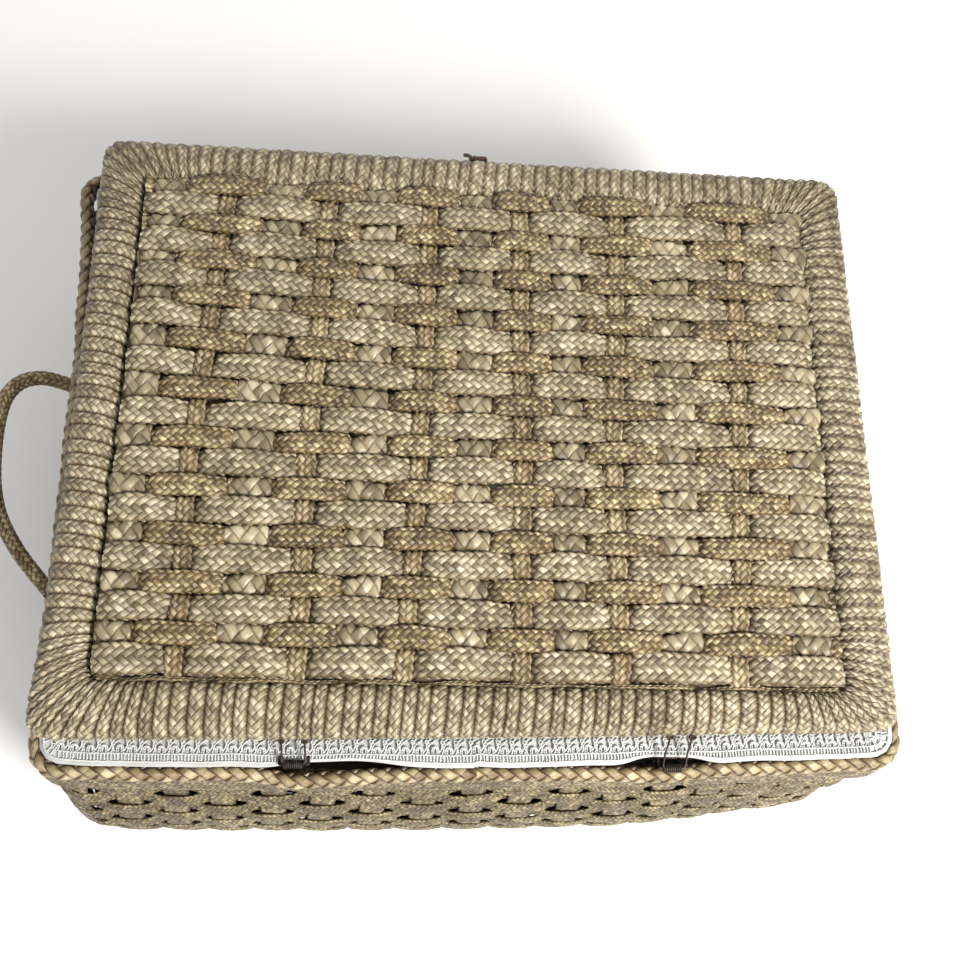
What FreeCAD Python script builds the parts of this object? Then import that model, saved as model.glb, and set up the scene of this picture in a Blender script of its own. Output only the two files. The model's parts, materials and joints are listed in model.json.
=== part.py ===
"""Straw sewing basket with a hinged lid, as separate pieces, in millimetres.

+X runs along the long side, the lid is hinged on the -Y side and fastens on the +Y side, +Z is up.
The origin is the centre of the base, on the face that the basket rests on.
"""

import FreeCAD, Part
import math
import os

V = FreeCAD.Vector

# Plan of the rim, the belly and the base of the woven wall, as half sizes and corner radii.
RIM_X = 155.5
RIM_Y = 121.0
RIM_R = 12.0
WALL_TOP = 98.0
WALL_THICK = 4.0
WALL_TOP_INSET = 2.8          # the wall's top edge lies inside the rim's outer edge
WALL_BASE_INSET = 4.0
BELLY_X = 9.0                 # how far each wall bulges half way up
BELLY_Y = 17.0
BELLY_R = 16.0                # the corners get rounder by this much at the belly
WALL_SECTIONS = 9

# Base, stiffening boards and lining.
BASE_WEAVE = 4.5
BASE_BOARD = 3.0
BOARD_THICK = 2.5
BOARD_INSET = 9.0             # outer face of the boards, in from the rim's outer edge
BOARD_TOP = 103.0
BOARD_CORNER = 9.0            # the boards stop short of the rounded corners
LINING_THICK = 6.2
LINING_FLANGE = 2.0
FLANGE_OUT = 1.6                # how far the lining's fold reaches past the boards
FLANGE_WIDE = 12.0
GIMP_OVERHANG = 0.8
BASE_PAD = 6.4
GIMP_WIDTH = 9.4
GIMP_THICK = 1.2
GAP = 0.1

# Rim: a plaited piping with a wire inside, and a flat braid that covers the wall's top edge.
BOX_TOP = 108.0
PIPING_R = 2.25
PIPING_INSET = 3.2
RIM_WIRE_R = 1.0
FLAT_BRAID = 1.6
FLAT_BRAID_LOW = 93.5
FLAT_BRAID_HIGH = 103.5
FLAT_BRAID_LEAN = 2.6

# Lid. It sits a little forward of the box, so the rim shows as a ledge on the hinge side.
LID_X = 149.5
LID_Y = 116.75
LID_R = 8.0
LID_SHIFT = 9.0
LID_BOTTOM = 110.0
ROLL_WIDE = 18.5
ROLL_THICK = 13.0
ROLL_ROUND = 5.5
ROLL_SKIN = 1.5
PANEL_R = 3.0
LID_BOARD = 2.4
STRIP = 2.4                   # thickness of one plaited strip of the lid's weave
# The warps were laid by eye: the middle of each one, and its width.
LIGHT_WARPS = ((-123.4, 12.4), (-81.0, 15.4), (-41.0, 14.0), (-3.0, 13.4), (32.3, 11.8), (73.0, 14.8), (121.6, 14.4))
DARK_WARPS = ((-102.5, 6.6), (-61.8, 7.2), (-22.6, 6.9), (15.0, 7.2), (50.4, 7.4), (96.8, 7.0))
WEFT_LIGHT = 10.4
WEFT_DARK = 6.6
WEFTS = 11
LID_GIMP_WIDTH = 4.6

# Pincushion and tufting buttons under the lid.
CUSHION_R = 30.0
CUSHION_DEEP = 12.0
BUTTON_R = 5.5
BUTTON_THICK = 2.2
BUTTON_X = 84.0
BUTTON_Y = 52.0

# Wire hinges: a pin bent from a staple on the box, and a spring coil with two legs on the lid.
HINGE_LEFT_X = -62.5
HINGE_RIGHT_X = 69.0
HINGE_Y = -116.2
HINGE_Z = 109.7
PIN_R = 0.5
COIL_BORE_R = 0.56
SPRING_WIRE_R = 0.45
COIL_LONG = 7.4
STAPLE_HALF = 4.9
STAPLE_NECK = (-115.3, 107.2)   # where each staple leg passes between the piping and the gimp
STAPLE_FOOT = (-113.0, 104.2)   # where it turns straight down behind the piping
STAPLE_DEEP = 16.0
SPRING_LEG = 3.9
SPRING_LEG_RUN = 15.7
SPRING_LEG_RISE = 5.8

# Side handles: a bent wire wrapped in straw, whose ends turn in wire eyes.
HANDLE_Z = 66.0
HANDLE_AXIS_X = 164.5
HANDLE_HALF = 45.0
HANDLE_OUT = 31.5
HANDLE_BEND = 14.0
HANDLE_WIRE_R = 1.25
HANDLE_WRAP_R = 2.6
HANDLE_PIN = 6.0
EYE_WIRE_R = 0.7
EYE_BORE_R = 1.3
HANG_ANGLE = 82.0             # how far below level the right handle hangs

# Fastening: a wooden bead on a peg, and a cord loop that turns on a small staple under the lid.
BEAD_R = 5.5
BEAD_Z = 84.0
BEAD_Y = 131.5
PEG_R = 1.2
LOOP_Y = 126.0
LOOP_Z = 109.6
LOOP_HALF = 7.4
LOOP_LONG = 34.0
LOOP_CORD_R = 1.3
LOOP_BEND = 2.2
LOOP_DROP = 60.0              # the open loop points this far below level
LOOP_STAPLE_HALF = 9.7


def rounded_rectangle(half_x, half_y, radius, z, shift_y=0.0):
    """A closed wire: a rectangle with rounded corners, lying level at height z."""
    edges = []
    for sx, sy, start in ((1, 1, 0), (-1, 1, 90), (-1, -1, 180), (1, -1, 270)):
        centre = V(sx * (half_x - radius), sy * (half_y - radius) + shift_y, z)
        arc = [centre + V(radius * math.cos(math.radians(a)), radius * math.sin(math.radians(a)), 0)
               for a in (start, start + 45, start + 90)]
        if edges:
            edges.append(Part.LineSegment(edges[-1].Vertexes[-1].Point, arc[0]).toShape())
        edges.append(Part.Arc(*arc).toShape())
    edges.append(Part.LineSegment(edges[-1].Vertexes[-1].Point, edges[0].Vertexes[0].Point).toShape())
    return Part.Wire(edges)


def slab(half_x, half_y, radius, z_low, z_high, shift_y=0.0):
    """A flat plate with rounded corners."""
    face = Part.Face(rounded_rectangle(half_x, half_y, radius, z_low, shift_y))
    return face.extrude(V(0, 0, z_high - z_low))


def frame(half_x, half_y, radius, width, z_low, z_high, shift_y=0.0, inner_radius=None):
    """A flat frame: a plate with a smaller plate cut out of its middle."""
    if inner_radius is None:
        inner_radius = max(radius - width, 1.0)
    hole = slab(half_x - width, half_y - width, inner_radius, z_low - 1, z_high + 1, shift_y)
    return slab(half_x, half_y, radius, z_low, z_high, shift_y).cut(hole)


def box(x, y, z):
    """A block between two x, two y and two z values."""
    return Part.makeBox(x[1] - x[0], y[1] - y[0], z[1] - z[0], V(x[0], y[0], z[0]))


def rod(start, end, radius):
    """A round bar between two points."""
    start = V(*start)
    run = V(*end) - start
    return Part.makeCylinder(radius, run.Length, start, run)


def bent_wire(points, radius):
    """Round bar through all the points, with a ball at each turn."""
    bars = [rod(a, b, radius) for a, b in zip(points, points[1:])]
    balls = [Part.makeSphere(radius, V(*p)) for p in points[1:-1]]
    return bars[0].multiFuse(bars[1:] + balls)


def swept(path, start, along, radius):
    """A round section carried along a smooth wire."""
    section = Part.Wire(Part.Circle(V(*start), V(*along), radius).toShape())
    return path.makePipeShell([section], True, False)


def hoop(half_x, half_y, corner, z, radius):
    """A round bar bent into a level rounded rectangle: straight bars and quarter rings."""
    path = rounded_rectangle(half_x, half_y, corner, z)
    return swept(path, (half_x, half_y - corner, z), (0, 1, 0), radius)


def wall_section(z, inset):
    """Outline of the woven wall at one height, moved inwards by inset."""
    share = z / WALL_TOP
    bulge = math.sin(math.pi * share)
    edge = WALL_BASE_INSET + (WALL_TOP_INSET - WALL_BASE_INSET) * share + inset
    return rounded_rectangle(
        RIM_X - edge + BELLY_X * bulge,
        RIM_Y - edge + BELLY_Y * bulge,
        RIM_R - inset + BELLY_R * bulge,
        z,
    )


def wall_solid(inset):
    """Everything inside the woven wall's outline, moved inwards by inset."""
    heights = [WALL_TOP * i / (WALL_SECTIONS - 1) for i in range(WALL_SECTIONS)]
    return Part.makeLoft([wall_section(z, inset) for z in heights], True)


def wall_half(z, rim_half, belly):
    """Half size of the wall's outer face at one height, along one axis."""
    share = z / WALL_TOP
    edge = WALL_BASE_INSET + (WALL_TOP_INSET - WALL_BASE_INSET) * share
    return rim_half - edge + belly * math.sin(math.pi * share)


BOARD_X = RIM_X - BOARD_INSET
BOARD_Y = RIM_Y - BOARD_INSET
FLOOR = BASE_WEAVE + BASE_BOARD
LINING_X = BOARD_X - BOARD_THICK - GAP
LINING_Y = BOARD_Y - BOARD_THICK - GAP
LINING_TOP = BOX_TOP
PIPING_Z = BOX_TOP - PIPING_R
ROLL_TOP = LID_BOTTOM + ROLL_THICK
PANEL_X = LID_X - ROLL_WIDE - GAP
PANEL_Y = LID_Y - ROLL_WIDE - GAP
PANEL_TOP = ROLL_TOP - 0.5
WARP_LOW = PANEL_TOP - 2 * STRIP - GAP
BOARD_LOW = WARP_LOW - GAP - LID_BOARD
PAD_LOW = LID_BOTTOM - 0.1


def staple_legs(x):
    """The hinge staple: the pin across the coil, two legs down the wall, turned in through the board."""
    low = HINGE_Z - STAPLE_DEEP
    inner = -(BOARD_Y - BOARD_THICK + 0.05)
    left = x - STAPLE_HALF
    right = x + STAPLE_HALF
    side = [(inner, low), (STAPLE_FOOT[0], low), STAPLE_FOOT, STAPLE_NECK, (HINGE_Y, HINGE_Z)]
    points = [(left, y, z) for y, z in side] + [(right, y, z) for y, z in reversed(side)]
    return bent_wire(points, PIN_R)


def spring_legs(x):
    """The two straight legs that run from the coil into the lid's roll."""
    start_z = HINGE_Z + COIL_BORE_R + SPRING_WIRE_R
    legs = []
    for side in (-1, 1):
        leg_x = x + side * SPRING_LEG
        end = (leg_x, HINGE_Y + SPRING_LEG_RUN, start_z + SPRING_LEG_RISE)
        legs.append(rod((leg_x, HINGE_Y, start_z), end, SPRING_WIRE_R))
    return legs


def spring(x):
    """The spring coil as a sleeve round the pin, with its legs."""
    start = (x - COIL_LONG / 2, HINGE_Y, HINGE_Z)
    end = (x + COIL_LONG / 2, HINGE_Y, HINGE_Z)
    sleeve = rod(start, end, COIL_BORE_R + 2 * SPRING_WIRE_R)
    return sleeve.multiFuse(spring_legs(x)).cut(rod(start, end, COIL_BORE_R))


def strips(places, along_x, z_low):
    """Flat strips inside the lid's roll, along X or along Y, from the middle and the width of each."""
    panel = slab(PANEL_X, PANEL_Y, PANEL_R + GAP, z_low - 1, z_low + STRIP + 1, LID_SHIFT)
    bars = []
    for middle, width in places:
        if along_x:
            y = middle + LID_SHIFT
            bars.append(box((-PANEL_X, PANEL_X), (y - width / 2, y + width / 2), (z_low, z_low + STRIP)))
        else:
            y_ends = (LID_SHIFT - PANEL_Y, LID_SHIFT + PANEL_Y)
            bars.append(box((middle - width / 2, middle + width / 2), y_ends, (z_low, z_low + STRIP)))
    return Part.makeCompound([bar.common(panel) for bar in bars])


def roll(skin):
    """The lid's rim roll, moved inwards all round by skin."""
    ring = frame(
        LID_X - skin,
        LID_Y - skin,
        LID_R - skin,
        ROLL_WIDE - 2 * skin,
        LID_BOTTOM + skin,
        ROLL_TOP - skin,
        LID_SHIFT,
        PANEL_R + skin,
    )
    level = [e for e in ring.Edges if abs(e.Vertexes[0].Z - e.Vertexes[-1].Z) < 1e-6]
    return ring.makeFillet(ROLL_ROUND - skin, level)


def handle_path(y_reach):
    """The handle's bow, level and pointing to -X: two legs and a bar, joined by arcs."""
    outer = -(HANDLE_AXIS_X + HANDLE_OUT)
    bend = HANDLE_BEND
    slant = bend * math.sqrt(0.5)
    side = HANDLE_HALF
    legs = outer + bend
    z = HANDLE_Z
    near = V(-y_reach, -side, z)
    far = V(-y_reach, side, z)
    low_arc = Part.Arc(
        V(legs, -side, z), V(legs - slant, -side + bend - slant, z), V(outer, -side + bend, z))
    high_arc = Part.Arc(
        V(outer, side - bend, z), V(legs - slant, side - bend + slant, z), V(legs, side, z))
    return Part.Wire([
        Part.LineSegment(near, V(legs, -side, z)).toShape(),
        low_arc.toShape(),
        Part.LineSegment(V(outer, -side + bend, z), V(outer, side - bend, z)).toShape(),
        high_arc.toShape(),
        Part.LineSegment(V(legs, side, z), far).toShape(),
    ])


def handle_core():
    """The bent wire, with a straight pin at each end."""
    bow = swept(
        handle_path(HANDLE_AXIS_X), (-HANDLE_AXIS_X, -HANDLE_HALF, HANDLE_Z), (-1, 0, 0), HANDLE_WIRE_R)
    pieces = []
    for side in (-1, 1):
        corner = V(-HANDLE_AXIS_X, side * HANDLE_HALF, HANDLE_Z)
        end = corner + V(0, side * HANDLE_PIN, 0)
        pieces.append(Part.makeSphere(HANDLE_WIRE_R, corner))
        pieces.append(rod(corner, end, HANDLE_WIRE_R))
    return bow.multiFuse(pieces)


def handle_wrap():
    """The straw that covers the handle's bow."""
    start = HANDLE_AXIS_X + 3.6
    along = (-1, 0, 0)
    place = (-start, -HANDLE_HALF, HANDLE_Z)
    sleeve = swept(handle_path(start), place, along, HANDLE_WRAP_R)
    return sleeve.cut(swept(handle_path(start), place, along, HANDLE_WIRE_R))


def handle_eyes():
    """Two wire eyes on the left wall, each with a shank through the wall and its board."""
    eyes = []
    for side in (-1, 1):
        y = side * (HANDLE_HALF + HANDLE_PIN / 2)
        centre = V(-HANDLE_AXIS_X, y, HANDLE_Z)
        ring = Part.makeTorus(EYE_BORE_R + EYE_WIRE_R, EYE_WIRE_R, centre, V(0, 1, 0))
        shank_start = (-(HANDLE_AXIS_X - EYE_BORE_R - EYE_WIRE_R), y, HANDLE_Z)
        shank_end = (-(BOARD_X - BOARD_THICK + 0.05), y, HANDLE_Z)
        eyes.append(ring.fuse(rod(shank_start, shank_end, EYE_WIRE_R)))
    return eyes


def to_right(shape):
    """The same shape on the right wall."""
    return shape.mirror(V(0, 0, 0), V(1, 0, 0))


def hang(shape):
    """A right handle turned down from level until it hangs."""
    return shape.rotate(V(HANDLE_AXIS_X, 0, HANDLE_Z), V(0, 1, 0), HANG_ANGLE)


def closure_staple():
    """The small staple under the lid's front edge that the loop turns on."""
    reach = 7.5
    left = -LOOP_STAPLE_HALF
    right = LOOP_STAPLE_HALF
    points = [
        (left, LOOP_Y - reach, LOOP_Z + reach),
        (left, LOOP_Y, LOOP_Z),
        (right, LOOP_Y, LOOP_Z),
        (right, LOOP_Y - reach, LOOP_Z + reach),
    ]
    return bent_wire(points, PIN_R)


def closure_loop():
    """The cord loop, made level towards +Y and then turned down to where it stands when open."""
    half_long = LOOP_LONG / 2
    path = rounded_rectangle(LOOP_HALF, half_long, LOOP_BEND, LOOP_Z, LOOP_Y + half_long)
    place = (LOOP_HALF, LOOP_Y + LOOP_LONG - LOOP_BEND, LOOP_Z)
    cord = swept(path, place, (0, 1, 0), LOOP_CORD_R)
    bore = rod((-LOOP_HALF - 3, LOOP_Y, LOOP_Z), (LOOP_HALF + 3, LOOP_Y, LOOP_Z), COIL_BORE_R)
    return cord.cut(bore).rotate(V(0, LOOP_Y, LOOP_Z), V(1, 0, 0), -LOOP_DROP)


def box_pieces():
    """Every piece that stays with the box."""
    pieces = {}
    peg = rod((0, BOARD_Y - BOARD_THICK + 0.05, BEAD_Z), (0, BEAD_Y, BEAD_Z), PEG_R)
    staples = [staple_legs(HINGE_LEFT_X), staple_legs(HINGE_RIGHT_X)]
    left_eyes = handle_eyes()
    right_eyes = [to_right(eye) for eye in left_eyes]
    through = [peg] + left_eyes + right_eyes

    pieces["wall_weave"] = wall_solid(0).cut(wall_solid(WALL_THICK)).cut(Part.makeCompound(through))
    base_edge = WALL_BASE_INSET + WALL_THICK + GAP
    pieces["base_weave"] = slab(RIM_X - base_edge, RIM_Y - base_edge, RIM_R - 4, 0, BASE_WEAVE)
    pieces["base_board"] = slab(BOARD_X, BOARD_Y, RIM_R - 8, BASE_WEAVE, FLOOR)

    long_half = BOARD_X - BOARD_CORNER
    short_half = BOARD_Y - BOARD_CORNER
    tall = (FLOOR, BOARD_TOP)
    long_board = box((-long_half, long_half), (BOARD_Y - BOARD_THICK, BOARD_Y), tall)
    short_board = box((-BOARD_X, -BOARD_X + BOARD_THICK), (-short_half, short_half), tall)
    pieces["board_front"] = long_board.cut(peg)
    back_board = long_board.mirror(V(0, 0, 0), V(0, 1, 0))
    pieces["board_back"] = back_board.cut(Part.makeCompound(staples))
    pieces["board_left"] = short_board.cut(Part.makeCompound(left_eyes))
    pieces["board_right"] = to_right(short_board).cut(Part.makeCompound(right_eyes))

    lining = frame(LINING_X, LINING_Y, 6, LINING_THICK, FLOOR + GAP, LINING_TOP - LINING_FLANGE)
    flange_x = BOARD_X + FLANGE_OUT
    flange_y = BOARD_Y + FLANGE_OUT
    flange = frame(flange_x, flange_y, RIM_R - 8, FLANGE_WIDE, LINING_TOP - LINING_FLANGE, LINING_TOP)
    pieces["box_lining"] = lining.fuse(flange)
    pieces["base_pad"] = slab(
        LINING_X - LINING_THICK - 0.4, LINING_Y - LINING_THICK - 0.4, 6, FLOOR + GAP, FLOOR + BASE_PAD)
    pieces["box_gimp"] = frame(
        flange_x + GIMP_OVERHANG, flange_y + GIMP_OVERHANG, RIM_R - 7, GIMP_WIDTH, BOX_TOP, BOX_TOP + GIMP_THICK)

    piping_x = RIM_X - PIPING_INSET
    piping_y = RIM_Y - PIPING_INSET
    piping_corner = RIM_R - PIPING_INSET
    wire = hoop(piping_x, piping_y, piping_corner, PIPING_Z, RIM_WIRE_R)
    pieces["rim_wire"] = wire
    pieces["rim_piping"] = hoop(piping_x, piping_y, piping_corner, PIPING_Z, PIPING_R).cut(wire)

    def braid_solid(inset):
        """Everything inside the flat braid, which leans in towards the top."""
        low = rounded_rectangle(
            RIM_X + 1.6 - inset, RIM_Y + 1.6 - inset, RIM_R + 1.6 - inset, FLAT_BRAID_LOW)
        edge = 1.6 - FLAT_BRAID_LEAN - inset
        high = rounded_rectangle(RIM_X + edge, RIM_Y + edge, RIM_R + edge, FLAT_BRAID_HIGH)
        return Part.makeLoft([low, high], True, True)

    pieces["rim_flat_braid"] = braid_solid(0).cut(braid_solid(FLAT_BRAID))

    pieces["hinge_staple_left"] = staples[0]
    pieces["hinge_staple_right"] = staples[1]
    pieces["handle_eyes_left"] = Part.makeCompound(left_eyes)
    pieces["handle_eyes_right"] = Part.makeCompound(right_eyes)
    bead = Part.makeSphere(BEAD_R, V(0, BEAD_Y, BEAD_Z))
    pieces["toggle_bead"] = bead.cut(peg)
    pieces["toggle_peg"] = peg
    return pieces


def lid_pieces():
    """Every piece that opens with the lid, except the fastening loop."""
    pieces = {}
    springs = {"left": spring(HINGE_LEFT_X), "right": spring(HINGE_RIGHT_X)}
    clip = closure_staple()
    holes = Part.makeCompound(list(springs.values()) + [clip])
    core = roll(ROLL_SKIN)
    pieces["lid_rim_core"] = core.cut(holes)
    pieces["lid_rim_wrap"] = roll(0).cut(core).cut(holes)

    weft_pitch = 2 * PANEL_Y / WEFTS
    first_weft = -PANEL_Y + WEFT_LIGHT / 2 + GAP
    weft_low = WARP_LOW + STRIP + GAP
    light_wefts = [(first_weft + weft_pitch * i, WEFT_LIGHT) for i in range(WEFTS)]
    dark_wefts = [(first_weft + weft_pitch * (i + 0.5), WEFT_DARK) for i in range(WEFTS)]
    pieces["lid_warps_light"] = strips(LIGHT_WARPS, False, WARP_LOW)
    pieces["lid_warps_dark"] = strips(DARK_WARPS, False, WARP_LOW)
    pieces["lid_wefts_light"] = strips(light_wefts, True, weft_low)
    pieces["lid_wefts_dark"] = strips(dark_wefts, True, weft_low)

    pieces["lid_board"] = slab(
        PANEL_X, PANEL_Y, PANEL_R, BOARD_LOW, BOARD_LOW + LID_BOARD, LID_SHIFT)
    pad_x = PANEL_X - 4
    pad_y = PANEL_Y - 4
    pieces["lid_lining"] = slab(pad_x, pad_y, 6, PAD_LOW, BOARD_LOW - GAP, LID_SHIFT)
    gimp_edge = LID_GIMP_WIDTH + GAP
    pieces["lid_gimp"] = frame(
        pad_x + gimp_edge, pad_y + gimp_edge, 8, LID_GIMP_WIDTH, PAD_LOW - 0.2, PAD_LOW + 0.9, LID_SHIFT)

    buttons = []
    for sx in (-1, 1):
        for sy in (-1, 1):
            place = V(sx * BUTTON_X, LID_SHIFT + sy * BUTTON_Y, PAD_LOW - BUTTON_THICK)
            disc = Part.makeCylinder(BUTTON_R, BUTTON_THICK, place)
            low_rim = [e for e in disc.Edges if abs(e.BoundBox.ZMax - place.z) < 1e-6]
            buttons.append(disc.makeFillet(BUTTON_THICK * 0.6, low_rim))
    pieces["lid_buttons"] = Part.makeCompound(buttons)

    foot = V(0, LID_SHIFT, PAD_LOW - CUSHION_DEEP)
    cushion = Part.makeCylinder(CUSHION_R, CUSHION_DEEP, foot)
    low_rim = [e for e in cushion.Edges if abs(e.BoundBox.ZMax - foot.z) < 1e-6]
    pieces["pincushion"] = cushion.makeFillet(CUSHION_DEEP * 0.75, low_rim)

    pieces["hinge_spring_left"] = springs["left"]
    pieces["hinge_spring_right"] = springs["right"]
    pieces["closure_staple"] = clip
    return pieces


def handle_pieces():
    """The two side handles: the left one level, the right one hanging."""
    core = handle_core()
    wrap = handle_wrap()
    return {
        "left_handle_core": core,
        "left_handle_wrap": wrap,
        "right_handle_core": hang(to_right(core)),
        "right_handle_wrap": hang(to_right(wrap)),
    }


def main():
    """Build every piece and write one STEP file each."""
    os.makedirs("parts", exist_ok=True)
    pieces = box_pieces()
    pieces.update(lid_pieces())
    pieces.update(handle_pieces())
    pieces["closure_loop"] = closure_loop()
    for name, shape in pieces.items():
        if not shape.isValid():
            raise ValueError(f"{name} is not a valid shape")
        shape.exportStep(f"parts/{name}.step")
        size = shape.BoundBox
        print(f"{name:20s} {len(shape.Solids):2d} solids {shape.Volume:10.0f} mm3 "
              f"{size.XLength:6.1f} x {size.YLength:6.1f} x {size.ZLength:6.1f} z {size.ZMin:.1f}")


main()
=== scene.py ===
"""A braided-straw sewing basket: what each piece looks like, built around the CAD frame.
Lengths in this script are in mm."""

import json
import math

import bmesh
import bpy
import numpy as np
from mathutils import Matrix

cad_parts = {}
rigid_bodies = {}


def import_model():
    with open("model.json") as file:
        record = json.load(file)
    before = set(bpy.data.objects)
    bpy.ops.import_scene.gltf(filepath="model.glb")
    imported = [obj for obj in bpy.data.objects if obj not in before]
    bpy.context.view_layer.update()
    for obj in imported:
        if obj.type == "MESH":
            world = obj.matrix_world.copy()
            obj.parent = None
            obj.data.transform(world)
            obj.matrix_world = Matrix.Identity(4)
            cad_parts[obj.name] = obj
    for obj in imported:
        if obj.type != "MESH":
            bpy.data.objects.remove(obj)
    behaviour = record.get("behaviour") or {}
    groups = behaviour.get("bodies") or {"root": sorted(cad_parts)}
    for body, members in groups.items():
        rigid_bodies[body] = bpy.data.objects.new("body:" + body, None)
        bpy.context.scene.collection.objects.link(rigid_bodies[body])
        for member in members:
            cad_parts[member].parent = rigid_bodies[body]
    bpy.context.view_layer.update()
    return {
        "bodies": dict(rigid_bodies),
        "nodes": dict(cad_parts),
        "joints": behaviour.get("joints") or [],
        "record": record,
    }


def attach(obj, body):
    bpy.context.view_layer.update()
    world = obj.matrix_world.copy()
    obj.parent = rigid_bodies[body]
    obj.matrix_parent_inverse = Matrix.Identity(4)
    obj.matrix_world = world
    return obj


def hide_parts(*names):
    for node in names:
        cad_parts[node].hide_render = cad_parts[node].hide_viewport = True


MM = 0.001
ROOT2 = math.sqrt(2.0)
FULL_TURN = 2 * math.pi
RNG = np.random.default_rng(11)
UP = np.array([0.0, 0.0, 1.0])
LOOK = {}                         # the materials by their short names; SLOTS has the material slot of each
SLOTS = {
    "light": "straw_light", "wall": "straw_light", "dark": "straw_dark", "brown": "straw_dark",
    "wrap": "straw_wrap", "gold": "straw_wrap", "handle": "straw_wrap", "core": "straw_wrap",
    "lace": "trim_white", "ribbon": "trim_white", "satin": "lining", "button": "lining",
    "cushion": "cushion_cloth", "wire": "wire_dark", "cord": "cord_brown", "wood": "wood_dark",
}

# The basket's driving sizes, the same as in the CAD.
RIM_X, RIM_Y, RIM_R = 155.5, 121.0, 12.0
WALL_TOP = 98.0
LID_X, LID_Y, LID_R, LID_SHIFT = 149.5, 116.75, 8.0, 9.0
PANEL_X, PANEL_Y = 130.9, 98.15
ROLL_LOW, ROLL_TOP = 110.0, 123.0
HINGES = ((-62.5, "left"), (69.0, "right"))
HINGE_Y, HINGE_Z = -116.2, 109.7


# ---- shapes

def plait(u, v):
    """Height, 0 to 1, of a twilled plait in strand cells: each strand passes over two and under two."""
    i, j = np.floor(u), np.floor(v)
    k = np.mod(i - j, 4)
    first = k < 2
    along = np.where(first, (u - i + k) / 2, (v - j + 3 - k) / 2)
    across = np.where(first, v - j, u - i)
    return (1 - np.abs(2 * across - 1) ** 5) * (1 - np.abs(2 * along - 1) ** 2.4)


def wander(s, length, size, seed):
    """A smooth random wave along s: about one swing in each length."""
    rng = np.random.default_rng(seed)
    total = np.zeros_like(s, dtype=float)
    for scale in (1.0, 0.61, 0.37):
        total += scale * np.sin(FULL_TURN * s / (length * scale) + rng.uniform(0, FULL_TURN))
    return total * size / 1.3


def unit(a):
    return a / np.maximum(np.linalg.norm(a, axis=-1, keepdims=True), 1e-9)


class Shape:
    """Collects grids of points into one mesh; strand cells are its UV map, tone and edge its attributes. edge is
    painted shade, and painted light where it is negative.
    """

    def __init__(self):
        self.points, self.quads, self.uvs = [], [], []
        self.tones, self.edges, self.caps = [], [], []
        self.count = 0

    def grid(self, points, u, v, closed_u=False, closed_v=False, tone=0.5, edge=0.0, caps=False):
        """u and v hold the strand cells at the corners of each quad: (cells_u, cells_v, 4), or per point."""
        nu, nv = points.shape[:2]
        index = self.count + np.arange(nu * nv).reshape(nu, nv)
        if closed_u:
            index = np.concatenate([index, index[:1]], 0)
        if closed_v:
            index = np.concatenate([index, index[:, :1]], 1)
        quads = np.stack([index[:-1, :-1], index[1:, :-1], index[1:, 1:], index[:-1, 1:]], -1)
        self.quads.append(quads.reshape(-1, 4))
        self.points.append(points.reshape(-1, 3))
        self.uvs.append(np.stack([corners(u), corners(v)], -1).reshape(-1, 2))
        self.tones.append((np.zeros((nu, nv)) + tone).ravel())
        self.edges.append((np.zeros((nu, nv)) + edge).ravel())
        if caps:
            self.caps.append(list(index[0, :nv][::-1]))
            self.caps.append(list(index[-1, :nv]))
        self.count += nu * nv

    def mesh(self, name):
        me = bpy.data.meshes.new(name)
        points = np.concatenate(self.points) * MM
        quads = np.concatenate(self.quads)
        me.vertices.add(len(points))
        me.vertices.foreach_set("co", points.astype(np.float32).ravel())
        cap_loops = [i for cap in self.caps for i in cap]
        loops = np.concatenate([quads.ravel(), np.array(cap_loops, dtype=int)]).astype(np.int32)
        me.loops.add(len(loops))
        me.loops.foreach_set("vertex_index", loops)
        sizes = np.concatenate([np.full(len(quads), 4), [len(c) for c in self.caps]]).astype(int)
        starts = np.concatenate([[0], np.cumsum(sizes)[:-1]]).astype(np.int32)
        me.polygons.add(len(sizes))
        me.polygons.foreach_set("loop_start", starts)
        me.polygons.foreach_set("use_smooth", np.ones(len(sizes), dtype=bool))
        me.update(calc_edges=True)
        layer = me.uv_layers.new(name="cells")
        uvs = np.concatenate(self.uvs + [np.zeros((len(cap_loops), 2))])
        layer.data.foreach_set("uv", uvs.astype(np.float32).ravel())
        for label, values in (("tone", self.tones), ("edge", self.edges)):
            attribute = me.attributes.new(label, "FLOAT", "POINT")
            attribute.data.foreach_set("value", np.concatenate(values).astype(np.float32))
        me.validate()
        return me


def corners(a):
    """Values at grid points turned into values at the four corners of each quad."""
    if a.ndim == 3:
        return a
    return np.stack([a[:-1, :-1], a[1:, :-1], a[1:, 1:], a[:-1, 1:]], -1)


def place(shape, name, body, key, *nodes, slot=None):
    """One finished piece: its mesh, its body, its material, and the CAD nodes that it stands for. Its slot is
    worked out but not used.
    """
    slot = slot or SLOTS[key]
    obj = bpy.data.objects.new(name, shape.mesh(name))
    bpy.context.scene.collection.objects.link(obj)
    obj.data.materials.append(LOOK[key])
    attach(obj, body)
    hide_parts(*nodes)
    return obj


def section(wide, thick, power, top, low):
    """A flattened round section, counted from the right edge over the top: x, y, its normals, and how far each
    point lies from the top."""
    def half(count):
        share = np.arange(count) / count
        return 0.45 * (1 - 2 * share) + 0.55 * np.cos(math.pi * share)
    x = np.concatenate([half(top), -half(low)])
    y = (1 - np.abs(x) ** power) ** (1 / power)
    y[top:] *= -1
    nx = np.sign(x) * np.abs(x) ** (power - 1) / (wide / 2)
    ny = np.sign(y) * np.abs(y) ** (power - 1) / (thick / 2)
    size = np.hypot(nx, ny) + 1e-9
    x, y = x * wide / 2, y * thick / 2
    step = np.hypot(np.diff(x, append=x[0]), np.diff(y, append=y[0]))
    run = np.concatenate([[0], np.cumsum(step)])
    middle = np.interp(0.0, -x[:top], run[:top])
    return x, y, nx / size, ny / size, middle - run


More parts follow.
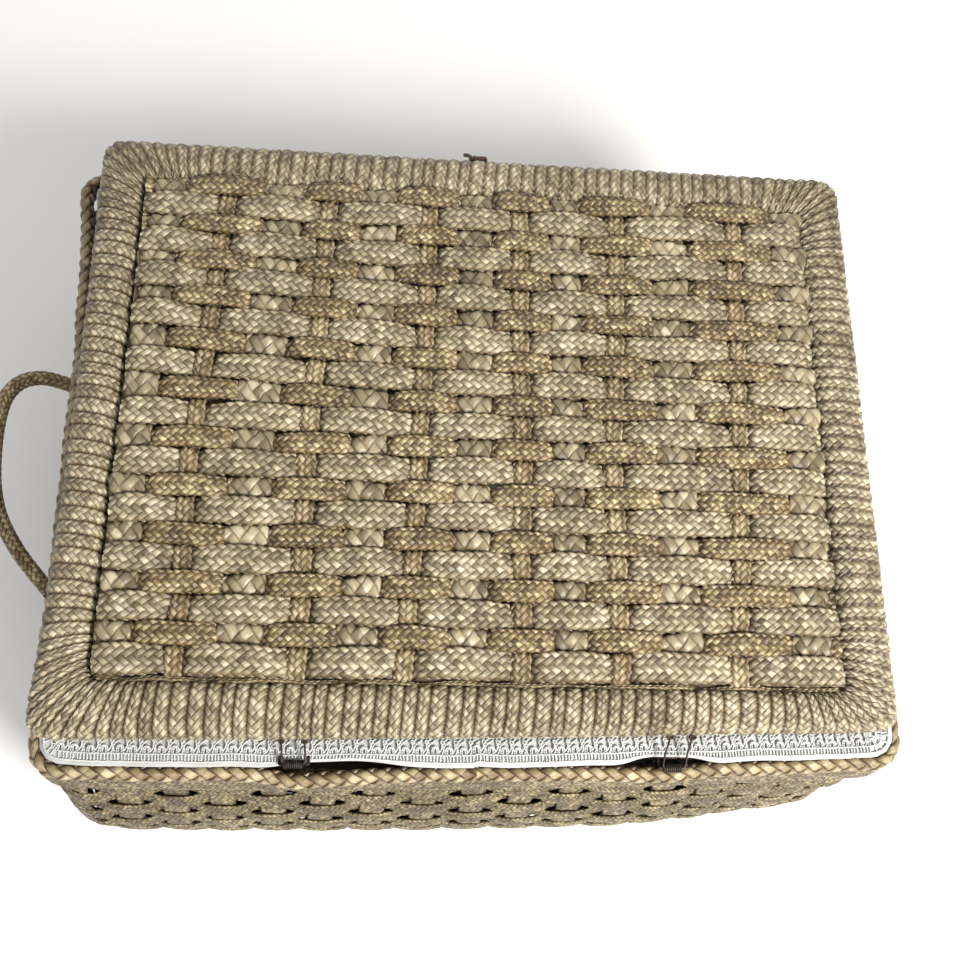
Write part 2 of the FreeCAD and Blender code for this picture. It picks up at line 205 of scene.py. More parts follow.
def directions(path, closed):
    return unit(np.roll(path, -1, 0) - np.roll(path, 1, 0) if closed else np.gradient(path, axis=0))


def distances(path, closed):
    """How far along the path each point lies; a closed path gets its whole length as well."""
    after = np.roll(path, -1, 0) if closed else path[1:]
    return np.concatenate([[0], np.cumsum(np.linalg.norm(after - path[:len(after)], axis=1))])


def square_to(tangent, up):
    return unit(up - tangent * np.sum(up * tangent, -1, keepdims=True))


def ribbon(shape, path, up, wide, thick, strand, relief=0.3, stretch=1.0, power=3.2, top=14, low=6,
           closed=False, start=0.0, tone=0.5, widths=None, edge=0.0, rim=0.55, shift=0.0):
    """A braided strip along a path, its flat side facing up, which is one direction or one for each point.
    edge paints shade along the path; rim paints shade along its two sides, and light there where it is negative;
    shift moves the plait sideways on it."""
    tangent = directions(path, closed)
    up = square_to(tangent, up)
    right = np.cross(tangent, up)
    x, y, nx, ny, t = section(wide, thick, power, top, low)
    t = t + shift
    s = distances(path, closed) * stretch + start
    scale = np.ones(len(path)) if widths is None else widths
    u = (s[:, None] + t[None]) / (ROOT2 * strand)
    v = (s[:, None] - t[None]) / (ROOT2 * strand)
    n = len(path)
    height = (plait(u[:n, :-1], v[:n, :-1]) - 0.6) * relief
    sides = right[:, None] * (x[None] * scale[:, None])[..., None] + up[:, None] * y[None, :, None]
    normals = right[:, None] * nx[None, :, None] + up[:, None] * ny[None, :, None]
    points = path[:, None] + sides + normals * height[..., None]
    border = np.clip(np.abs(x) * 2 / wide, 0, 1)[None] ** 9
    edge = np.clip(np.reshape(edge, (-1, 1)) + rim * border, -0.6, 1)
    shape.grid(points, u, v, closed_u=closed, closed_v=True, tone=tone, edge=edge, caps=not closed)


def tube(shape, path, radius, sides=6, closed=False, strand=1.0):
    """A plain round thread or wire along a path."""
    tangent = directions(path, closed)
    helper = np.where(np.abs(tangent[:, 2:3]) > 0.9, np.array([[1.0, 0, 0]]), UP[None])
    up = square_to(tangent, helper)
    right = np.cross(tangent, up)
    angle = FULL_TURN * np.arange(sides) / sides
    ring = right[:, None] * np.cos(angle)[None, :, None] + up[:, None] * np.sin(angle)[None, :, None]
    run = distances(path, closed)[:, None]
    side = (np.arange(sides + 1) / sides * FULL_TURN * radius)[None]
    shape.grid(path[:, None] + ring * radius, (run + side) / strand, (run - side) / strand, closed_u=closed,
               closed_v=True, caps=not closed)


def smooth(points, count, closed=False):
    """A Catmull-Rom curve through the points."""
    p = np.asarray(points, float)
    if closed:
        p = np.concatenate([p[-1:], p, p[:2]])
    else:
        p = np.concatenate([[2 * p[0] - p[1]], p, [2 * p[-1] - p[-2]]])
    out = []
    share = np.arange(count)[:, None] / count
    for a, b, c, d in zip(p[:-3], p[1:-2], p[2:-1], p[3:]):
        bend = 2 * a - 5 * b + 4 * c - d
        out.append(0.5 * (2 * b + (c - a) * share + bend * share**2 + (3 * b - a - 3 * c + d) * share**3))
    if not closed:
        out.append(p[-2:-1])
    return np.concatenate(out)


def around(half_x, half_y, radius, s):
    """Points and outward normals on a rounded rectangle, at distances s that run from the middle of its -Y side
    towards +X."""
    half_x, half_y, radius = (np.broadcast_to(size, s.shape) for size in (half_x, half_y, radius))
    run_x, run_y = half_x - radius, half_y - radius
    arc = radius * math.pi / 2
    half = 2 * (run_x + run_y + arc)
    s = np.mod(s, 2 * half)
    flip = s >= half                                  # the second half is the first one turned about Z
    s = np.where(flip, s - half, s)
    zero, one = np.zeros_like(s), np.ones_like(s)
    side_start, side_end = run_x + arc, run_x + arc + 2 * run_y
    first, second = ((s - start) / np.maximum(radius, 1e-6) for start in (run_x, side_end))
    sin_a, cos_a, sin_b, cos_b = np.sin(first), np.cos(first), np.sin(second), np.cos(second)
    where = [s < run_x, s < side_start, s < side_end, s < side_end + arc]
    x = [s, run_x + radius * sin_a, half_x, run_x + radius * cos_b]
    y = [-half_y, -run_y - radius * cos_a, s - side_start - run_y, run_y + radius * sin_b]
    found = [np.select(where, parts, last) for parts, last in (
        (x, run_x - (s - side_end - arc)), (y, half_y), ([zero, sin_a, one, cos_b], zero),
        ([-one, -cos_a, zero, sin_b], one))]
    turn = np.where(flip, -1.0, 1.0)
    return [part * turn for part in found]


def perimeter(half_x, half_y, radius):
    return 4 * (half_x + half_y - 2 * radius + radius * math.pi / 2)


def loop_path(half_x, half_y, radius, z, step, shift_y=0.0, drift=None):
    """A closed path round a rounded rectangle, and the directions that point outwards from it."""
    total = perimeter(half_x, half_y, radius)
    count = int(round(total / step))
    s = np.arange(count) * total / count
    x, y, nx, ny = around(half_x, half_y, radius, s)
    if drift is not None:
        move = drift(s, x, y)
        x, y = x + nx * move, y + ny * move
    path = np.stack([x, y + shift_y, np.zeros_like(x) + z], 1)
    return path, np.stack([nx, ny, np.zeros_like(nx)], 1), s


# ---- materials

class Graph:
    """A small helper that writes shader nodes from one material's formula."""

    def __init__(self, name):
        self.material = bpy.data.materials.new(name)
        self.material.use_nodes = True
        self.tree = self.material.node_tree
        self.tree.nodes.clear()
        self.surface = self.node("ShaderNodeBsdfPrincipled")
        output = self.node("ShaderNodeOutputMaterial")
        self.tree.links.new(self.surface.outputs[0], output.inputs[0])

    def node(self, kind, **values):
        made = self.tree.nodes.new(kind)
        for key, value in values.items():
            setattr(made, key, value)
        return made

    def put(self, socket, value):
        if isinstance(value, bpy.types.NodeSocket):
            self.tree.links.new(value, socket)
        else:
            socket.default_value = value

    def math(self, operation, *values):
        made = self.node("ShaderNodeMath", operation=operation)
        for socket, value in zip(made.inputs, values):
            self.put(socket, value)
        return made.outputs[0]

    def mul(self, a, b):
        return self.math("MULTIPLY", a, b)

    def add(self, a, b):
        return self.math("ADD", a, b)

    def sub(self, a, b):
        return self.math("SUBTRACT", a, b)

    def mad(self, a, b, c):
        return self.math("MULTIPLY_ADD", a, b, c)

    def vector(self, x, y, z=0.0):
        made = self.node("ShaderNodeCombineXYZ")
        for socket, value in zip(made.inputs, (x, y, z)):
            self.put(socket, value)
        return made.outputs[0]

    def split(self, vector):
        made = self.node("ShaderNodeSeparateXYZ")
        self.put(made.inputs[0], vector)
        return made.outputs

    def noise(self, vector, scale, detail=3.0, roughness=0.55):
        made = self.node("ShaderNodeTexNoise")
        self.put(made.inputs["Vector"], vector)
        made.inputs["Scale"].default_value = scale
        made.inputs["Detail"].default_value = detail
        made.inputs["Roughness"].default_value = roughness
        return made.outputs[0]

    def random(self, vector):
        made = self.node("ShaderNodeTexWhiteNoise", noise_dimensions="3D")
        self.put(made.inputs["Vector"], vector)
        return made.outputs["Value"]

    def ramp(self, value, *stops):
        made = self.node("ShaderNodeValToRGB")
        self.put(made.inputs[0], value)
        elements = made.color_ramp.elements
        while len(elements) < len(stops):
            elements.new(0.5)
        for element, (at, colour) in zip(elements, stops):
            element.position = at
            element.color = (*colour, 1.0)
        return made.outputs[0]

    def mix(self, share, a, b, blend="MIX"):
        made = self.node("ShaderNodeMix", data_type="RGBA", blend_type=blend)
        for socket, value in zip((made.inputs[0], made.inputs[6], made.inputs[7]), (share, a, b)):
            self.put(socket, value if isinstance(value, bpy.types.NodeSocket | float) else (*value, 1.0))
        return made.outputs[2]

    def attribute(self, name):
        return self.node("ShaderNodeAttribute", attribute_name=name).outputs["Fac"]

    def position(self):
        return self.node("ShaderNodeTexCoord").outputs["Object"]

    def bump(self, height, distance, strength=1.0):
        made = self.node("ShaderNodeBump")
        made.inputs["Strength"].default_value = strength
        made.inputs["Distance"].default_value = distance
        self.put(made.inputs["Height"], height)
        self.tree.links.new(made.outputs[0], self.surface.inputs["Normal"])

    def finish(self, colour, roughness, **extra):
        self.put(self.surface.inputs["Base Color"], colour)
        self.put(self.surface.inputs["Roughness"], roughness)
        for key, value in extra.items():
            self.put(self.surface.inputs[key.replace("_", " ")], value)
        return self.material


def straw(name, dark, middle, light, gloss=0.34, groove=0.36, distance=0.0006, glint=0.65):
    """Plaited straw: each strand of the twill has its own tone and fibres along it; painted shade gives it a
    thin shadowed edge, darkens the plait's low parts and follows the edge attribute.
    """
    g = Graph(name)
    cells = g.split(g.node("ShaderNodeUVMap", uv_map="cells").outputs[0])
    u, v = cells[0], cells[1]
    i, j = g.math("FLOOR", u), g.math("FLOOR", v)
    fu, fv = g.sub(u, i), g.sub(v, j)
    across_block = g.sub(i, j)
    block = g.math("FLOOR", g.mul(across_block, 0.25))
    k = g.sub(across_block, g.mul(block, 4.0))
    first = g.math("LESS_THAN", k, 1.5)
    second = g.sub(1.0, first)

    def pick(a, b):
        return g.add(g.mul(a, first), g.mul(b, second))
    along_first = g.mul(g.add(fu, k), 0.5)
    along_second = g.mul(g.sub(g.add(fv, 3.0), k), 0.5)
    along, across = pick(along_first, along_second), pick(fv, fu)
    strand = g.vector(pick(i, j), block, g.mul(first, 5.0))
    tone = g.random(strand)

    def hump(value, power):
        centred = g.math("ABSOLUTE", g.sub(g.mul(value, 2.0), 1.0))
        return g.sub(1.0, g.math("POWER", centred, power))
    height = g.mul(hump(across, 5.0), hump(along, 2.4))
    gap = g.mul(hump(across, 11.0), hump(along, 7.0))
    fibre_place = g.vector(g.mul(along, 1.6), g.mul(across, 9.0), g.mul(tone, 57.0))
    fibre = g.noise(fibre_place, 1.4, 3.0, 0.62)
    patch = g.noise(g.position(), 38.0, 2.0)
    value = g.mad(tone, 0.72, g.mad(fibre, 0.6, -0.27))
    value = g.mad(g.attribute("tone"), 0.6, g.add(value, -0.3))
    value = g.mad(patch, 0.5, g.add(value, -0.24))
    colour = g.ramp(value, (0.0, dark), (0.5, middle), (0.98, light))
    # Painted shade: dark thin lines at each strand's edge, less light where the plait dips, and the edge
    # attribute, which paints shade where positive and light where negative; the shade turns warmer as it
    # darkens.
    open_part = g.sub(1.0, gap)
    shade = g.sub(1.0, g.mul(g.math("POWER", open_part, 1.4), groove))
    shade = g.mul(shade, g.mad(height, 0.14, 0.86))
    shade = g.mul(shade, g.sub(1.0, g.mul(g.attribute("edge"), 0.86)))
    tinted_shade = g.node("ShaderNodeCombineColor")
    warm = g.math("POWER", shade, 1.5)
    mid = g.mad(shade, 0.5, g.mul(warm, 0.5))
    for socket, part in zip(tinted_shade.inputs, (shade, mid, warm)):
        g.put(socket, part)
    colour = g.mix(1.0, colour, tinted_shade.outputs[0], "MULTIPLY")
    g.bump(g.add(height, g.mul(fibre, 0.3)), distance)
    rough = g.mad(fibre, 0.3, g.mad(tone, -0.1, gloss - 0.08))
    return g.finish(colour, rough, Specular_IOR_Level=glint)


def cloth_look(name, shade, warm, weave_scale, gloss, sheen):
    """Woven fabric: fine threads, soft uneven tone."""
    g = Graph(name)
    x, y, z = g.split(g.position())
    threads = g.math("SINE", g.mul(g.add(x, y), weave_scale))
    cross = g.math("SINE", g.mul(g.add(g.sub(x, y), z), weave_scale))
    cloud = g.noise(g.position(), 38.0, 4.0)
    colour = g.mix(g.mul(cloud, 0.8), shade, warm)
    g.bump(g.mad(cloud, 0.6, g.mul(threads, cross)), 0.00006, 0.6)
    return g.finish(colour, gloss, Sheen_Weight=sheen)


def thread_look(name):
    """Off-white lace thread, with a few tea-brown marks."""
    g = Graph(name)
    cells = g.split(g.node("ShaderNodeUVMap", uv_map="cells").outputs[0])
    twist = g.math("SINE", g.mul(cells[0], 5.0))
    cloud = g.noise(g.position(), 26.0, 3.0)
    mark = g.ramp(g.noise(g.position(), 17.0, 2.0), (0.70, (0.0, 0.0, 0.0)), (0.78, (1.0, 1.0, 1.0)))
    colour = g.mix(g.mul(cloud, 0.9), (0.59, 0.61, 0.59), (0.48, 0.485, 0.465))
    stain = g.mul(g.split(mark)[0], 0.35)
    colour = g.mix(stain, colour, (0.40, 0.27, 0.2))
    g.bump(g.mad(cloud, 0.5, twist), 0.00008, 0.7)
    return g.finish(colour, 0.75, Sheen_Weight=0.2)


def wire_look(name, dark, light, gloss):
    """Old steel wire: dark, patchy, with scattered brown rust."""
    g = Graph(name)
    rust = g.noise(g.position(), 420.0, 4.0)
    colour = g.ramp(rust, (0.35, dark), (0.7, light))
    g.bump(rust, 0.00008, 0.5)
    rough = g.mad(rust, 0.3, gloss)
    return g.finish(colour, rough, Metallic=0.75)


def board_look(name, shade, fleck):
    """Cardboard: matt pulp with darker flecks."""
    g = Graph(name)
    pulp = g.noise(g.position(), 900.0, 4.0, 0.7)
    cloud = g.noise(g.position(), 30.0, 3.0)
    value = g.mad(pulp, 0.6, g.mul(cloud, 0.4))
    colour = g.ramp(value, (0.3, fleck), (0.7, shade))
    g.bump(pulp, 0.0001, 0.5)
    return g.finish(colour, g.mad(cloud, 0.15, 0.8))


def wood_look(name, dark, light):
    """Stained turned wood: rings along Z broken by noise."""
    g = Graph(name)
    x, y, z = g.split(g.position())
    grain_place = g.vector(g.mul(x, 900.0), g.mul(y, 160.0), g.mul(z, 900.0))
    grain = g.noise(grain_place, 1.0, 4.0, 0.6)
    colour = g.ramp(grain, (0.3, dark), (0.7, light))
    g.bump(grain, 0.0001, 0.4)
    return g.finish(colour, g.mad(grain, 0.2, 0.32), Coat_Weight=0.3)


STRAWS = {                        # name, dark, middle and light tone, and what else straw() takes
    "light": ("straw_light_plait", (0.14, 0.11, 0.062), (0.325, 0.275, 0.17), (0.60, 0.535, 0.385), {}),
    "dark": ("straw_dark_plait", (0.10, 0.066, 0.024), (0.235, 0.172, 0.073), (0.58, 0.49, 0.285),
             {"gloss": 0.3, "glint": 0.8}),
    "brown": ("straw_brown_plait", (0.13, 0.092, 0.043), (0.265, 0.203, 0.106), (0.48, 0.4, 0.245), {}),
    "wrap": ("straw_roll_wrap", (0.14, 0.108, 0.06), (0.33, 0.28, 0.178), (0.61, 0.545, 0.395),
             {"groove": 0.3}),
    "gold": ("straw_gold_plait", (0.125, 0.083, 0.033), (0.305, 0.235, 0.124), (0.55, 0.46, 0.285),
             {"groove": 0.7, "distance": 0.0012}),
    # the left handle's straw is the gold straw painted about 1.6 times brighter: painted light where the box
    # shades the handle
    "handle": ("straw_handle_painted_light", (0.2, 0.14, 0.06), (0.5, 0.39, 0.21), (0.85, 0.74, 0.48),
               {"groove": 0.7, "distance": 0.0012}),
    # the wall's straw is the light straw's slot in darker, browner tones: painted shade on the woven wall,
    # shared by the rim's flat braid and the base
    "wall": ("straw_wall_painted_shade", (0.07, 0.048, 0.018), (0.152, 0.115, 0.05), (0.40, 0.325, 0.18),
             {"gloss": 0.4, "groove": 0.6}),
    "cord": ("brown_cord_plait", (0.035, 0.018, 0.009), (0.10, 0.055, 0.028), (0.21, 0.13, 0.07),
             {"gloss": 0.5}),
    "core": ("straw_bundle", (0.16, 0.11, 0.05), (0.3, 0.22, 0.11), (0.42, 0.33, 0.18), {"gloss": 0.6}),
}
CLOTHS = {                        # name, two tones, threads in a metre, roughness and sheen
    "ribbon": ("ribbon_tape", (0.49, 0.505, 0.495), (0.42, 0.42, 0.40), 9000.0, 0.5, 0.15),
    "satin": ("satin_lining", (0.78, 0.76, 0.70), (0.66, 0.62, 0.54), 6000.0, 0.36, 0.5),
    "cushion": ("cushion_cotton", (0.46, 0.10, 0.09), (0.36, 0.07, 0.07), 5000.0, 0.6, 0.6),
    "button": ("button_satin", (0.76, 0.74, 0.68), (0.60, 0.56, 0.48), 7000.0, 0.4, 0.4),
}


def materials():
    for key, (name, dark, middle, light, extra) in STRAWS.items():
        LOOK[key] = straw(name, dark, middle, light, **extra)
    for key, values in CLOTHS.items():
        LOOK[key] = cloth_look(*values)
    LOOK["lace"] = thread_look("lace_thread")
    LOOK["wire"] = wire_look("dark_wire", (0.012, 0.010, 0.009), (0.085, 0.062, 0.05), 0.36)
    LOOK["board"] = board_look("cardboard", (0.17, 0.12, 0.075), (0.08, 0.055, 0.035))
    LOOK["wood"] = wood_look("stained_wood", (0.06, 0.024, 0.01), (0.17, 0.08, 0.035))


# ---- the lid's plaited panel

WEAVE_MIDDLE = 120.25             # height of the middle of the lid's weave
SWING = 1.0                       # how far a strip rises or dives from the middle
STRIP_THICK = 2.1
# The warps are listed: where each crosses the near edge, the middle and the far edge, and its width.
WARP_Y = (-92.0, -18.0, 91.0)
LIGHT_WARPS = ((-123.7, -124.2, -121.3, 12.4), (-81.5, -82.2, -76.6, 15.4), (-42.0, -41.0, -39.8, 14.0),
               (-4.6, -2.7, -1.9, 13.4), (31.5, 32.2, 33.2, 11.8), (70.8, 73.0, 75.0, 14.8),
               (117.4, 122.4, 124.0, 14.4))
DARK_WARPS = ((-102.9, -104.0, -98.5, 6.6), (-62.2, -62.6, -59.5, 7.2), (-26.0, -22.4, -19.9, 6.9),
              (14.3, 15.3, 15.0, 7.2), (49.0, 49.2, 53.9, 7.4), (91.3, 96.9, 101.5, 7.0))
ROW_STEP = 17.85
LIGHT_WEFTS = [(-92.2 + ROW_STEP * n, 11.0 if n == 0 else 10.4) for n in range(11)]
DARK_WEFTS = [(-83.4 + ROW_STEP * n, 8.3) for n in range(11)]


def warp_places(warps, y):
    """Where the warps cross the line at y, with their widths."""
    return [(float(np.interp(y, WARP_Y, warp[:3])), warp[3]) for warp in warps]


def weft_rise(y, x):
    """The wefts near the middle of the panel climb a little towards its left side."""
    return 5.0 * np.exp(-((y - 34.0) / 32.0) ** 2) * np.clip((-x - 5.0) / 95.0, 0, 1.2) ** 1.3


def weft_places(wefts, x):
    return [(y + float(weft_rise(y, x)), wide) for y, wide in wefts]


def dips(s, under):
    """1 where a strip lies on top, -1 where it dives under the strips at those places and widths.
    It dives steeply on one side and comes up slowly on the other."""
    level = np.ones_like(s)
    for at, wide in under:
        off = s - at
        steep = np.exp(-np.abs(off / (wide / 2 + 0.3)) ** 14)
        slow = np.exp(-np.abs(off / (wide / 2 + 1.5)) ** 5)
        level -= 2 * np.where(off < 0, steep, slow)
    return np.maximum(level, -1.0)


def float_share(s, under, low, high):
    """0 at the ends of each float between two dives, 1 in its middle."""
    stops = np.array(sorted([low - 8.0] + [at for at, _ in under] + [high + 8.0]))
    slot = np.clip(np.searchsorted(stops, s) - 1, 0, len(stops) - 2)
    share = (s - stops[slot]) / (stops[slot + 1] - stops[slot])
    return np.sin(math.pi * np.clip(share, 0, 1))


def panel_strip(shape, side, wide, seed, along_x, under, strand, bow, tone):
    """One strip of the panel, diving under the strips at the places in under and bowing up between them.
    side turns places along the strip into its sideways position."""
    low, high = (-PANEL_X + 1.6, PANEL_X - 2.2) if along_x else (-PANEL_Y + 0.4, PANEL_Y - 0.4)
    s = np.arange(low, high + 0.01, 0.6)
    level = dips(s, under)
    middle = float_share(s, under, low, high)
    top = np.clip(level, 0, 1)
    ends = np.clip(np.minimum(s - low, high - s) / 5.0, 0, 1)
    rise = bow * (middle - 0.35) * top * (0.4 + 0.6 * ends)
    z = WEAVE_MIDDLE + SWING * level + rise + wander(s, 60, 0.14, seed) - 0.9 * (1 - ends) ** 2
    place_at = side(s) + wander(s, 85, 0.3, seed + 1) + wander(s, 23, 0.14, seed + 2)
    pinch = 0.16 if along_x else 0.06
    widths = 1.02 - pinch * (1 - middle**0.6) * top - 0.06 * (level < 0) + wander(s, 31, 0.02, seed + 3)
    widths -= 0.1 * (1 - ends) ** 2
    path = np.stack([s, place_at, z], 1) if along_x else np.stack([place_at, s, z], 1)
    path[:, 1] += LID_SHIFT
    roll = wander(s, 47, 0.07, seed + 4)
    up = np.zeros_like(path) + UP
    up[:, 1 if along_x else 0] = roll
    # painted shade: darker where the strip dives under the others and towards the ends of each float
    shade = 0.45 * (1 - top) + 0.35 * (1 - middle) ** 4 * top
    ribbon(shape, path, up, wide, STRIP_THICK, strand, 0.6, stretch=0.84, start=seed * 13.7, top=20,
           low=5, power=2.3, tone=tone, widths=widths, edge=shade)


def lid_panel():
    strips = {}
    for key, warps, wefts, seed, strand, bow, tone in (
        ("light", LIGHT_WARPS, LIGHT_WEFTS, 100, 3.3, 0.2, 0.52),
        ("dark", DARK_WARPS, DARK_WEFTS, 200, 1.75, 0.1, 0.62),
    ):
        shape = strips[key, "warps"] = Shape()
        for n, (*at, wide) in enumerate(warps):
            panel_strip(shape, lambda s, at=at: np.interp(s, WARP_Y, at), wide, seed + 7 * n, False,
                        weft_places(wefts, at[1]), strand, bow, tone + RNG.uniform(-0.1, 0.1))
    for key, wefts, warps, seed, strand, bow, spread in (
        ("light", LIGHT_WEFTS, DARK_WARPS, 300, 2.05, 2.0, 0.08),
        ("dark", DARK_WEFTS, LIGHT_WARPS, 400, 1.75, 2.4, 0.14),
    ):
        for n, (y, wide) in enumerate(wefts):
            shape = strips.setdefault((key, "near" if n < 6 else "far"), Shape())
            panel_strip(shape, lambda s, y=y: y + weft_rise(y, s), wide, seed + 7 * n, True,
                        warp_places(warps, y), strand, bow, 0.5 + RNG.uniform(-spread, spread))
    cords = Shape()
    for side in (-1, 1):
        selvedge(cords, side)
    place(cords, "lid_selvedge_cords", "lid", "brown", "lid_warps_light")
    place(strips["light", "warps"], "lid_warps_light_plaits", "lid", "light", "lid_warps_light")
    place(strips["dark", "warps"], "lid_warps_dark_plaits", "lid", "brown", "lid_warps_dark")
    for end in ("near", "far"):
        for key in ("light", "dark"):
            place(strips[key, end], f"lid_wefts_{key}_{end}", "lid", key, f"lid_wefts_{key}")


def selvedge(shape, side):
    """The thin cord over the warps' ends in the groove beside the roll; it rises over each light warp."""
    s = np.arange(-PANEL_X + 3, PANEL_X - 3, 0.7)
    over = np.zeros_like(s)
    for at, wide in warp_places(LIGHT_WARPS, side * PANEL_Y):
        over += np.exp(-((s - at) / (wide / 2 + 2.5)) ** 4)
    high = 1.7 if side > 0 else 0.7
    y = LID_SHIFT + side * (PANEL_Y + 0.3) + wander(s, 33, 0.35, 71 + side)
    z = WEAVE_MIDDLE - 1.7 + high * over + wander(s, 41, 0.9, 75 + side)
    ribbon(shape, np.stack([s, y, z], 1), UP, 1.7, 1.3, 0.8, 0.2, stretch=0.5,
           power=2.0, top=7, low=5, tone=0.75, start=side * 5.0)


# ---- the lid's wrapped roll

WRAP = 5.1                        # the width of one turn of the roll's plait
WRAP_STEPS = 8
FAN = 42.0                        # how far from each corner the turns start to fan
ROLL_WIDE = 18.2


def near_edge(x):
    """How far the lid's near edge lies inside its straight line; its left end has spread outwards."""
    return 0.3 + 0.0225 * x + 0.0000434 * x * x


def inner_run(a, outer_half, inner_half):
    """Where a wrap at a on a side's outer edge lies on its inner edge; both from the side's middle."""
    free = outer_half - FAN
    size = np.abs(a)
    squeeze = (inner_half - free) / FAN
    share = np.clip((size - free) / FAN, 0, None)
    bent = free + FAN * (share - (1 - squeeze) * share**2 * 0.5 - (1 - squeeze) * share * 0.5)
    return np.sign(a) * np.where(size < free, size, bent)


def wrap_places(inner_half_x, inner_half_y):
    """For each edge between strips of the wraps: its place on the roll's outer and inner edges, its share of
    the wrap and the wrap's number. Both edges are measured from the corner between the -X and -Y sides."""
    arc = LID_R * math.pi / 4
    sides = ((LID_X - LID_R + arc, inner_half_x), (LID_Y - LID_R + arc, inner_half_y)) * 2
    share = np.arange(WRAP_STEPS) / WRAP_STEPS
    rows = []
    start_outer = start_inner = 0.0
    for outer_half, inner_half in sides:
        count = int(round(2 * outer_half / WRAP))
        sizes = 1 + RNG.uniform(-0.16, 0.16, count)
        bounds = np.concatenate([[0], np.cumsum(sizes)]) / sizes.sum() * 2 * outer_half - outer_half
        for n in range(count):
            a = bounds[n] + share * (bounds[n + 1] - bounds[n])
            slant = 0.9 * np.cos(a / outer_half * math.pi / 2)
            outer = start_outer + outer_half + a - slant
            inner = start_inner + inner_half + inner_run(a + slant, outer_half, inner_half)
            rows.append((outer, inner, share, np.full(WRAP_STEPS, len(rows))))
        start_outer += 2 * outer_half
        start_inner += 2 * inner_half
    return sides, [np.concatenate(part) for part in zip(*rows)]


def lid_roll():
    """The flat plait wound round and round the lid's edge, fanning at the corners."""
    inner_x, inner_y, inner_r = LID_X - ROLL_WIDE, LID_Y - ROLL_WIDE, 3.0
    inner_arc = inner_r * math.pi / 4
    sides, (outer_at, inner_at, local, number) = wrap_places(
        inner_x - inner_r + inner_arc, inner_y - inner_r + inner_arc)
    wraps = number[-1] + 1
    ox, oy, _, _ = around(LID_X, LID_Y, LID_R, outer_at - sides[0][0])
    ix, iy, _, _ = around(inner_x, inner_y, inner_r, inner_at - sides[0][1])
    near = np.clip(-oy / LID_Y, 0, 1) ** 3
    ox = ox - 1.7 * near * np.clip(-ox / LID_X, 0, 1) ** 6
    oy = oy + near * near_edge(ox)
    left = np.clip(-ox / LID_X, 0, 1) ** 6
    ox = ox * 0.993 + 1.2 * left * np.cos(np.clip(oy / LID_Y, -1, 1) * math.pi / 2)
    ix = ix - 1.7 * np.clip(ix / inner_x, 0, 1) ** 8
    outer, inner = np.stack([ox, oy], 1), np.stack([ix, iy], 1)
    top, low, power = 34, 20, 2.5
    phi = np.concatenate([np.linspace(0, math.pi, top, endpoint=False),
                          np.linspace(math.pi, FULL_TURN, low, endpoint=False)])
    size = (np.abs(np.cos(phi)) ** power + np.abs(np.sin(phi)) ** power) ** (-1 / power)
    c, h = size * np.cos(phi), size * np.sin(phi)
    lift, tone, jump = (base + RNG.uniform(low_end, high_end, wraps)[number] for base, low_end, high_end in (
        (0.0, -0.1, 0.1), (0.5, -0.13, 0.13), (0.0, 0, 40)))
    middle, reach = (outer + inner) / 2, (outer - inner) / 2
    strand, stretch = 1.8, 0.8
    half_wide, half_high = 9.2, 6.2
    steps = np.hypot(np.diff(c, append=c[0]) * half_wide, np.diff(h, append=h[0]) * half_high)
    run = np.concatenate([[0], np.cumsum(steps)]) * stretch

    def cells(s, ahead, sign):
        """Strand cells at distances s round the roll and a share ahead of each place across its wrap."""
        across = (local - 0.5 + ahead) * WRAP
        return (s[None] + jump[:, None] + sign * across[:, None]) / (ROOT2 * strand)
    pillow = 1 - np.abs(2 * local - 1) ** 2.6
    braid = plait(cells(run[:-1], 0, 1), cells(run[:-1], 0, -1))
    relief = (braid - 0.6) * 0.38 + pillow[:, None] * 0.62 - 0.55 + lift[:, None]
    half_thick = (ROLL_TOP - ROLL_LOW) / 2 - 0.35
    plan = middle[:, None] + reach[:, None] * (c[None] * (1 + relief / 9.0))[..., None]
    z = (ROLL_LOW + ROLL_TOP) / 2 + h[None] * (half_thick + relief)
    points = np.concatenate([plan, z[..., None]], -1)
    points[..., 1] += LID_SHIFT
    # painted shade in the creases between the wraps
    edge = np.zeros_like(z) + (1 - pillow[:, None]) ** 2.0
    step = 1.0 / WRAP_STEPS
    quad = ((run[:-1], 0), (run[:-1], step), (run[1:], step), (run[1:], 0))
    u, v = (np.stack([cells(s, ahead, sign) for s, ahead in quad], -1) for sign in (1, -1))
    shape = Shape()
    shape.grid(points, u, v, closed_u=True, closed_v=True, tone=tone[:, None], edge=edge)
    place(shape, "lid_rim_wrap_plait", "lid", "wrap", "lid_rim_wrap")
    roll_core(middle[::3], reach[::3])


def roll_core(middle, reach):
    """The bundle of straw stalks that the roll's plait is wound on."""
    shape = Shape()
    sides = 48
    spin = FULL_TURN * np.arange(sides) / sides
    stalks = 1 - 0.07 * np.abs(np.sin(spin * 7))
    plan = middle[:, None] + reach[:, None] * (0.76 * stalks * np.cos(spin))[None, :, None]
    z = (ROLL_LOW + ROLL_TOP) / 2 + 4.2 * stalks * np.sin(spin) + 0 * plan[..., 0]
    points = np.concatenate([plan, z[..., None]], -1)
    points[..., 1] += LID_SHIFT
    cells = np.meshgrid(np.arange(len(middle) + 1) * 0.3, np.arange(sides + 1) * 0.29, indexing="ij")
    shape.grid(points, *cells, closed_u=True, closed_v=True)
    place(shape, "lid_rim_core_stalks", "lid", "core", "lid_rim_core")


# ---- the box's rim

